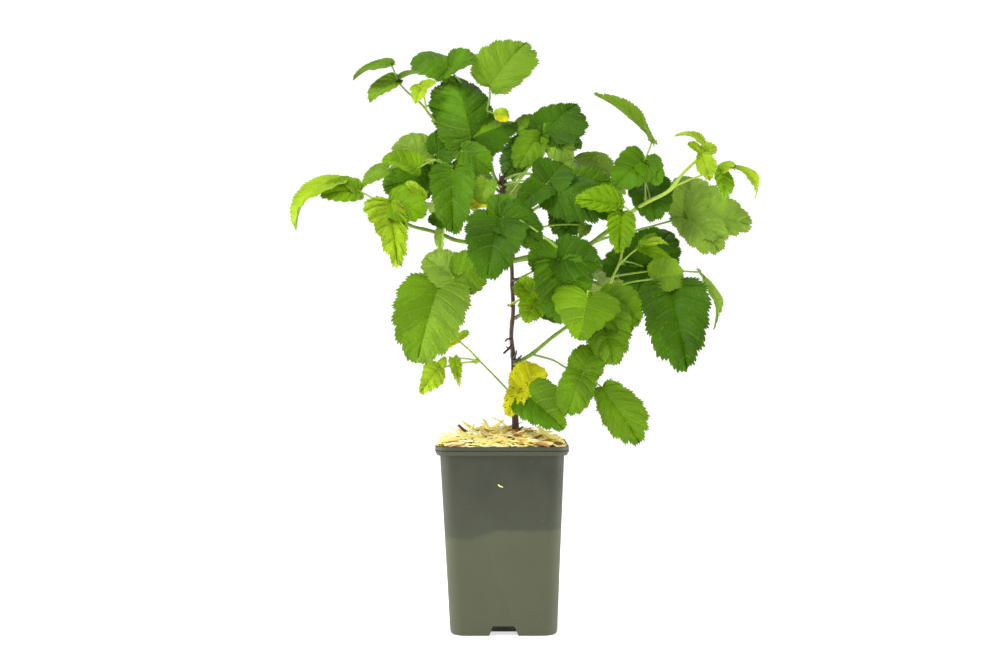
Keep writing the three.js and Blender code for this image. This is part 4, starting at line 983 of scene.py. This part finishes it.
plantMaterials.append(grainFinish("bark", barkSkin))
finishNumber["bark"] = len(plantMaterials) - 1
for number, (name, shoot) in enumerate(limbs.items()):
    rng = np.random.default_rng(seeds["limbs"] + number)
    pile = MeshPile()
    (caneTubes if name == "stem" else shootTubes)(pile, rng, shoot)
    obj = pile.make(name + "_limb", plantMaterials, bark["smooth"])
    finishPiece(obj, "bark" if name == "stem" else "green_shoot", name)
print("cane and shoots ready")


# pot
pot = {
    "height": 190, "rimWidth": 136, "rimFootWidth": 132.5, "rimRoll": 2.6, "rollTuck": 0.9, "rimDrop": 8,
    "neckWidth": 124.6, "baseWidth": 107, "wall": 1.4, "corner": 14, "cornerSteps": 9, "footRound": 4,
    "leanTop": 0.5, "leanFoot": 2.2, "bulge": 0.008, "edgeRound": 0.35, "edgeAngle": 0.7, "smooth": 40,
    # steps down and their sizes: the rounded foot, and the groove under the rim's roll
    "footSteps": ((0.5, 0.991), (0.33, 0.985), (0.17, 0.975)), "grooveDrops": (0.4, 0.9, 0.4),
    "notchFoot": 30, "notchTop": 22, "notchHeight": 9.8, "notchRound": 1.2,
    "floorHeight": 10.5, "floorThickness": 1.6, "floorInset": 0.8, "floorCorner": 12.5,
    "drainRadius": 6, "drainDepth": 30, "drainSpread": 30,
    "drains": ((0, 0), (1, 1), (-1, 1), (-1, -1), (1, -1)),
}


def potPoint(x, y, z):
    return Vector((potMiddle.x + x * mm, potMiddle.y + y * mm, potLow.z + z * mm))


def wallWidth(height):
    return pot["baseWidth"] + (pot["neckWidth"] - pot["baseWidth"]) * height / pot["height"]


def isUpright(edge, least=1):
    return abs(edge.verts[0].co.z - edge.verts[1].co.z) > least * mm


def atHeight(edge, height, slack=0.2):
    return all(abs(v.co.z - potPoint(0, 0, height).z) < slack * mm for v in edge.verts)


# colours given, and heights and places in metres
potSkin = {
    # lower is a painted reflection of the white floor on the pot's lower part, rim a painted highlight; from
    # middle to top the wall darkens towards the top
    "lower": (72, 76, 53), "middle": (55, 59, 43), "top": (31, 33, 22), "rim": (58, 60, 44),
    "mottle": (64, 67, 48), "dust": (150, 146, 124), "specular": 0.35, "rough": (0.44, 0.62),
    "edge": (0.1035, 0.1085), "edgeDrop": (0.008, 0, -0.052, -0.026), "edgeNoise": (60, 4),
    "edgeWander": (-0.004, 0.004), "rise": (0.1, 0.19), "rimFrom": (0.181, 0.1825),
    "cloudNoise": (22, 5, 0.65), "cloud": (-0.3, 0.75), "specks": 160, "speckReach": (0.8, 0, 0, 0.1),
    "sparseNoise": (40, 2),
    "sparse": (-1.2, 1.6), "scuffs": (60, 5, 0.6, (1, 1, 0.3)),
    "grain": (900, 2), "grainRelief": (0.12, 0.0002),
}


def potFinish(skin=potSkin):
    # moulded grey-green plastic: darker above an uneven line that drops at the left, where the paler part
    # below is a painted reflection of the white floor; darker towards the top; paler at the rim, a painted
    # highlight
    finish = Finish("pot_plastic", **{"Specular IOR Level": skin["specular"]})
    split = finish.add("ShaderNodeSeparateXYZ", {"Vector": finish.place()}).outputs
    drop = finish.spread(split["X"], *skin["edgeDrop"])
    wander = finish.spread(finish.noise(*skin["edgeNoise"]), *skin["edgeWander"])
    line = finish.combine("ADD", finish.combine("ADD", split["Z"], drop), wander)
    rise, onRim = (finish.spread(split["Z"], 0, 1, *skin[key]) for key in ("rise", "rimFrom"))
    upper = finish.mix(rise, tone(*skin["middle"]), tone(*skin["top"]))
    # paler at the rim: a painted highlight
    upper = finish.mix(onRim, upper, tone(*skin["rim"]))
    # paler below the uneven line: a painted reflection of the white floor
    colour = finish.mix(finish.spread(line, 1, 0, *skin["edge"]), upper, tone(*skin["lower"]))
    cloud = finish.spread(finish.noise(*skin["cloudNoise"]), *skin["cloud"])
    colour = finish.mix(cloud, colour, tone(*skin["mottle"]))
    # a few specks of dust
    dots = finish.spread(finish.cells(skin["specks"]), *skin["speckReach"])
    sparse = finish.spread(finish.noise(*skin["sparseNoise"]), *skin["sparse"])
    colour = finish.mix(finish.combine("MULTIPLY", dots, sparse, clamp=True), colour, tone(*skin["dust"]))
    rough = finish.spread(finish.noise(*skin["scuffs"]), *skin["rough"])
    finish.feed(finish.shader, {"Base Color": colour, "Roughness": rough})
    finish.relief(finish.noise(*skin["grain"]), *skin["grainRelief"])
    return finish.material


def extrudeDown(drop, size=1):
    # the picked edges go down by so many mm, and in or out about the pot's middle
    bpy.ops.mesh.extrude_edges_move(TRANSFORM_OT_translate={"value": (0, 0, -drop * mm)})
    bpy.ops.transform.resize(value=(size, size, 1), center_override=potPoint(0, 0, 0))


def makeShell():
    top, foot = pot["height"], pot["footRound"]
    bpy.ops.mesh.primitive_cube_add(size=1, location=potPoint(0, 0, (top + foot) / 2))
    shell = bpy.context.object
    shell.name = "pot_shell"
    shell.scale = (wallWidth(foot) * mm, wallWidth(foot) * mm, (top - foot) * mm)
    place(shell)
    bpy.ops.object.mode_set(mode="EDIT")
    selectParts("FACE", lambda f: abs(f.normal.z) > 0.9)
    bpy.ops.mesh.delete(type="FACE")
    selectParts("EDGE", lambda e: atHeight(e, top))
    grow = wallWidth(top) / wallWidth(foot)
    bpy.ops.transform.resize(value=(grow, grow, 1), center_override=potPoint(0, 0, top))
    selectParts("EDGE", isUpright)
    bpy.ops.mesh.bevel(offset=pot["corner"] * mm, segments=pot["cornerSteps"], profile=0.5)
    # the foot rounds in, and the rim turns out and down
    selectParts("EDGE", lambda e: atHeight(e, foot))
    for drop, tuck in pot["footSteps"]:
        extrudeDown(foot * drop, tuck)
    rimWidth, footWidth = pot["rimWidth"] - 2 * pot["wall"], pot["rimFootWidth"] - 2 * pot["wall"]
    selectParts("EDGE", lambda e: atHeight(e, top))
    extrudeDown(0, rimWidth / wallWidth(top))
    # a small roll along the top, a groove under it, then the rim's band
    extrudeDown(pot["rimRoll"])
    groove = 1 - 2 * pot["rollTuck"] / rimWidth
    for drop, size in zip(pot["grooveDrops"], (groove, 1, 1 / groove)):
        extrudeDown(drop, size)
    extrudeDown(pot["rimDrop"] - pot["rimRoll"] - sum(pot["grooveDrops"]), footWidth / rimWidth)
    bpy.ops.mesh.select_all(action="SELECT")
    bpy.ops.mesh.normals_make_consistent(inside=False)
    bpy.ops.object.mode_set(mode="OBJECT")
    applyModifier(shell, "SOLIDIFY", thickness=pot["wall"] * mm, offset=0, use_even_offset=True)
    return shell


def cutNotches(shell):
    # each cutter is wider at the foot, and goes through two opposite sides
    middle = pot["notchHeight"] / 2 - 0.5
    for quarter in (0, 1):
        bpy.ops.mesh.primitive_cube_add(size=1, location=potPoint(0, 0, middle))
        cutter = bpy.context.object
        cutter.scale = (1, pot["rimWidth"] * 1.5 * mm, 1)
        for vertex in cutter.data.vertices:
            low = vertex.co.z < 0
            width = pot["notchFoot"] if low else pot["notchTop"]
            vertex.co.x = math.copysign(width / 2 * mm, vertex.co.x)
            vertex.co.z = ((-1 if low else pot["notchHeight"]) - middle) * mm
        cutter.rotation_euler.z = quarter * math.pi / 2
        place(cutter)
        applyModifier(cutter, "BEVEL", width=pot["notchRound"] * mm, segments=3)
        applyModifier(shell, "BOOLEAN", object=cutter, operation="DIFFERENCE", solver="EXACT")
        bpy.data.objects.remove(cutter)


def makePot():
    shell = makeShell()
    cutNotches(shell)
    applyModifier(shell, "BEVEL", width=pot["edgeRound"] * mm, segments=2, limit_method="ANGLE",
                  angle_limit=pot["edgeAngle"])
    # a used pot is no longer quite true: its walls bulge a little and it stands a touch askew
    for vertex in shell.data.vertices:
        share = (vertex.co.z - potLow.z) / (pot["height"] * mm)
        swell = 1 + pot["bulge"] * math.sin(math.pi * min(1, max(0, share)))
        lean = pot["leanFoot"] + (pot["leanTop"] - pot["leanFoot"]) * share
        vertex.co.x = potMiddle.x + (vertex.co.x - potMiddle.x) * swell + lean * mm
    pick(shell)
    bpy.ops.object.shade_smooth_by_angle(angle=math.radians(pot["smooth"]))
    return shell


def makeFloor():
    # the pot's raised floor with its drain holes
    width = (wallWidth(pot["floorHeight"]) - 2 * pot["floorInset"] * pot["wall"]) * mm
    bpy.ops.mesh.primitive_cube_add(
        size=1, location=potPoint(0, 0, pot["floorHeight"] + pot["floorThickness"] / 2))
    floor = bpy.context.object
    floor.name = "pot_floor"
    floor.scale = (width, width, pot["floorThickness"] * mm)
    place(floor)
    bpy.ops.object.mode_set(mode="EDIT")
    selectParts("EDGE", isUpright)
    bpy.ops.mesh.bevel(offset=pot["floorCorner"] * mm, segments=pot["cornerSteps"])
    bpy.ops.object.mode_set(mode="OBJECT")
    for x, y in pot["drains"]:
        bpy.ops.mesh.primitive_cylinder_add(
            vertices=32, radius=pot["drainRadius"] * mm, depth=pot["drainDepth"] * mm,
            location=potPoint(x * pot["drainSpread"], y * pot["drainSpread"], pot["floorHeight"]))
        drill = bpy.context.object
        place(drill)
        applyModifier(floor, "BOOLEAN", object=drill, operation="DIFFERENCE", solver="EXACT")
        bpy.data.objects.remove(drill)
    pick(floor)
    bpy.ops.object.shade_smooth_by_angle(angle=math.radians(pot["smooth"]))
    return floor


plastic = potFinish()
for piece in (makePot(), makeFloor()):
    piece.data.materials.clear()
    piece.data.materials.append(plastic)
    finishPiece(piece, "pot_plastic", "pot")
print("pot ready")


# filling
fill = {
    "edgeDrop": 3, "mound": 13.5, "cells": 72, "gap": 0.4, "bottom": 13, "depth": 160, "smooth": 60,
    "sunk": 1.5, "rough": 0.7, "bump": 0.8, "lumps": ((6.1, 1, 5.3, 0, 1), (2.7, 0, 3.1, 2, 0.6)),
}
compostSkin = {
    "grain": (260, 6, 0.7), "stops": [(0.35, (120, 82, 40)), (0.6, (240, 200, 116))], "rough": (0.95, 0.95),
    "relief": (0.8, 0.0015),
}


def insideWidth(height):
    return wallWidth(height) - 2 * (pot["wall"] + fill["gap"])


def moundAt(x, y):
    half = wallWidth(pot["height"] - fill["edgeDrop"]) / 2
    fall = np.maximum(np.abs(x), np.abs(y)) / half
    return pot["height"] - fill["edgeDrop"] + fill["mound"] * (1 - np.minimum(1, fall) ** 2)


def makeCompost():
    inside, corner = insideWidth(pot["height"]), pot["corner"] - pot["wall"] - fill["gap"]
    bpy.ops.mesh.primitive_grid_add(x_subdivisions=fill["cells"], y_subdivisions=fill["cells"],
                                    size=inside * mm, location=potPoint(0, 0, 0))
    compost = bpy.context.object
    compost.name = "compost"
    place(compost)
    rng = np.random.default_rng(seeds["compost"])
    core = inside / 2 - corner
    for vertex in compost.data.vertices:
        x, y = (vertex.co.x - potMiddle.x) / mm, (vertex.co.y - potMiddle.y) / mm
        overX, overY = max(0, abs(x) - core), max(0, abs(y) - core)
        if overX and overY:
            # the square corner is drawn in to the pot's round one
            pull = max(overX, overY) / math.hypot(overX, overY)
            x = math.copysign(core + overX * pull, x)
            y = math.copysign(core + overY * pull, y)
        bumps = sum(size * math.sin(x / a + p) * math.sin(y / b + q) for a, p, b, q, size in fill["lumps"])
        grit = rng.uniform(-1, 1) * fill["rough"]
        vertex.co = potPoint(x, y, moundAt(x, y) - fill["sunk"] + bumps * fill["bump"] + grit)
    pick(compost)
    bpy.ops.object.mode_set(mode="EDIT")
    selectParts("EDGE", lambda e: e.is_boundary)
    # the sides go down, and are pressed flat at the bottom
    bpy.ops.mesh.extrude_edges_move(TRANSFORM_OT_translate={"value": (0, 0, -fill["depth"] * mm)})
    shrink = insideWidth(fill["bottom"]) / inside
    bpy.ops.transform.resize(value=(shrink, shrink, 0), center_override=potPoint(0, 0, fill["bottom"]))
    bpy.ops.mesh.edge_face_add()
    bpy.ops.mesh.select_all(action="SELECT")
    bpy.ops.mesh.normals_make_consistent(inside=False)
    bpy.ops.object.mode_set(mode="OBJECT")
    bpy.ops.object.shade_smooth_by_angle(angle=math.radians(fill["smooth"]))
    compost.data.materials.append(grainFinish("compost", compostSkin))
    return compost


# split strips of wood; each tint: its colour, and its share of the chips
chips = {
    "count": 1050, "long": (10, 36), "wide": (2.2, 7.5), "thick": (0.6, 1.6), "shorten": (0.5, 1),
    "flatShare": 0.96, "flat": (-0.16, 0.24), "raised": (0.3, 0.65), "bend": 0.08, "side": 0.1, "tip": 0.25,
    "strew": (-0.5, 3.2), "raisedLift": 0.35, "brimGap": 1, "onRim": 1.2, "stemClear": 4,
    "rings": (-0.5, -0.17, 0.17, 0.5), "firstEnd": (0.15, 0.9), "lastEnd": (0.1, 0.8), "jag": (0.85, 1.1),
    "smooth": 30,
    "skin": {"grain": (320, 4, 0.6), "rough": (0.7, 0.95), "relief": (0.5, 0.0004)},
    "tints": {
        "straw_chip": ((255, 238, 146), 0.4), "cream_chip": ((255, 249, 196), 0.34),
        "tan_chip": ((250, 214, 122), 0.18), "brown_chip": ((188, 132, 62), 0.06),
        "dark_chip": ((104, 66, 36), 0.02),
    },
}
stripFaces = [(0, 3, 2, 1), (12, 13, 14, 15)]
for ring in (0, 4, 8):
    stripFaces += [(ring + k, ring + (k + 1) % 4, ring + 4 + (k + 1) % 4, ring + 4 + k) for k in range(4)]


def inRound(x, y, half):
    # within a square with rounded corners
    core = half - pot["corner"]
    return math.hypot(max(0, abs(x) - core), max(0, abs(y) - core)) < pot["corner"]


def stripRings(rng, middle, along, across, size, bend, side):
    # four rings along a strip, ragged and narrower at its ends
    long, wide, thick = size
    up = np.cross(along, across)
    rings = []
    first, last = rng.uniform(*chips["firstEnd"]), rng.uniform(*chips["lastEnd"])
    for t, narrow in zip(chips["rings"], (first, 1, 1, last)):
        spot = middle + along * (t * long) + up * (bend * (1 - 4 * t * t)) + across * (side * 4 * t * t)
        for a, b in ((-1, -1), (1, -1), (1, 1), (-1, 1)):
            jag = rng.uniform(*chips["jag"])
            rings.append(spot + across * (a * wide / 2 * narrow * jag) + up * (b * thick / 2))
    return rings


def makeChips():
    # each strip is bent a little, and lies on the mound, on the others or on the rim
    rng = np.random.default_rng(seeds["chips"])
    pile = MeshPile()
    colours, shares = zip(*chips["tints"].values())
    materials = [grainFinish(name, chips["skin"], colour) for name, colour in zip(chips["tints"], colours)]
    stemFoot = seen(limbs["stem"]["line"][0])
    inside = wallWidth(pot["height"]) / 2 - pot["wall"]
    brim = pot["rimWidth"] / 2 - pot["wall"] - chips["brimGap"]
    while pile.count < chips["count"] * 16:
        long, wide, thick = (rng.uniform(*chips[key]) for key in ("long", "wide", "thick"))
        long *= rng.uniform(*chips["shorten"])
        x, y = rng.uniform(-brim, brim, 2)
        turn = rng.uniform(0, math.pi)
        reach = (math.cos(turn) * long / 2, math.sin(turn) * long / 2)
        ends = [(x + side * reach[0], y + side * reach[1]) for side in (-1, 1)]
        onStem = math.hypot(x - stemFoot[0], y - stemFoot[1]) < chips["stemClear"]
        if onStem or any(not inRound(*end, brim) for end in ends):
            continue
        rise = rng.uniform(*chips["flat" if rng.random() < chips["flatShare"] else "raised"])
        bend = rng.uniform(-chips["bend"], chips["bend"]) * long
        side = rng.uniform(-chips["side"], chips["side"]) * long
        along = unit(np.array([math.cos(turn), math.sin(turn), math.tan(rise)]))
        across = unit(np.cross([rng.normal(0, chips["tip"]), rng.normal(0, chips["tip"]), 1], along))
        level = moundAt(x, y) + rng.uniform(*chips["strew"])
        level += abs(math.sin(rise)) * long * chips["raisedLift"]
        if any(not inRound(*end, inside) for end in ends):
            # lies on the rim
            level = max(level, pot["height"] + chips["onRim"] + abs(math.tan(rise)) * long / 2)
        rings = stripRings(rng, np.array([x, y, level]), along, across, (long, wide, thick), bend, side)
        pile.add(rings, stripFaces, rng.choice(len(shares), p=shares))
    # one scrap clings to the front of the pot
    scrap = [seen(p) for p in ((-3.5, 153.4, -61.6), (-1.5, 151.7, -61.9), (1.4, 150.8, -61.6))]
    addTube(pile, smoothLine(scrap, 4), [0.4, 0.8, 0.4], 6, 0)
    return pile.make("wood_chips", materials, chips["smooth"])


for piece in (makeCompost(), makeChips()):
    finishPiece(piece, "wood_chips", "fill")
print("filling ready")


# stage, lights and camera
studio = {
    "floorSize": 14, "floorCells": 48, "sink": 0.4, "sweepFrom": 2.6, "sweep": 0.12,
    "white": {"Base Color": (0.92, 0.92, 0.92, 1), "Roughness": 0.9,
              "Emission Color": (1, 1, 1, 1), "Emission Strength": 0.62},
    "shade": {"Base Color": (0.5, 0.49, 0.46, 1), "Roughness": 0.9}, "shadeSize": 62, "shadeDrop": 0.1,
    "world": 0.34,
}
lights = {
    "key": {"spot": (-1.0, -1.1, 1.7), "aim": 0.35, "size": 0.7, "watts": 29},
    "fill": {"spot": (1.2, -1.3, 0.9), "aim": 0.3, "size": 1.2, "watts": 3.4},
    "top": {"spot": (0.1, 0.3, 1.7), "aim": 0.4, "size": 1.4, "watts": 7},
    "left": {"spot": (-0.7, -0.1, 0.08), "aim": 0.08, "size": 0.5, "watts": 5},
    "right": {"spot": (0.7, -0.1, 0.08), "aim": 0.08, "size": 0.5, "watts": 5},
}


def makeStage():
    bpy.ops.mesh.primitive_grid_add(x_subdivisions=studio["floorCells"], y_subdivisions=studio["floorCells"],
                                    size=studio["floorSize"], location=(0, 0, -studio["sink"] * mm))
    floor = bpy.context.object
    floor.name = "studio_floor"
    place(floor)
    for vertex in floor.data.vertices:
        # the backdrop sweeps up all round
        far = max(0, math.hypot(vertex.co.x, vertex.co.y) - studio["sweepFrom"])
        vertex.co.z += studio["sweep"] * far ** 2
    bpy.ops.object.shade_smooth()
    floor.data.materials.append(Finish("studio_white", **studio["white"]).material)
    # a grey sheet under the pot, inside its foot: painted shade on the ground, seen through the notches
    bpy.ops.mesh.primitive_plane_add(size=studio["shadeSize"] * mm,
                                     location=potPoint(0, 0, -studio["shadeDrop"]))
    under = bpy.context.object
    under.name = "ground_under_pot"
    place(under)
    under.data.materials.append(Finish("ground_in_shade", **studio["shade"]).material)


def makeLights():
    for name, plan in lights.items():
        bpy.ops.object.light_add(type="AREA", location=plan["spot"])
        lamp = bpy.context.object
        lamp.name = name + "_light"
        lamp.data.shape = "SQUARE"
        lamp.data.size = plan["size"]
        lamp.data.energy = plan["watts"]
        aim = Vector((0, 0, plan["aim"])) - lamp.location
        lamp.rotation_euler = aim.to_track_quat("-Z", "Y").to_euler()
    world = bpy.data.worlds.new("studio_world")
    world.use_nodes = True
    world.node_tree.nodes["Background"].inputs["Color"].default_value = (1, 1, 1, 1)
    world.node_tree.nodes["Background"].inputs["Strength"].default_value = studio["world"]
    bpy.context.scene.world = world


def makeCamera():
    away = view["distance"] - view["frontDepth"]
    bpy.ops.object.camera_add(location=potPoint(camera["across"], -away, camera["eyeHeight"]),
                              rotation=(math.pi / 2, 0, 0))
    eye = bpy.context.object
    eye.data.lens = camera["lens"]
    eye.data.sensor_width = camera["sensor"]
    eye.data.clip_end = camera["farthest"]
    bpy.context.scene.camera = eye
    bpy.context.scene.view_settings.view_transform = "Standard"


deselect()
makeStage()
makeLights()
makeCamera()
print("stage ready")
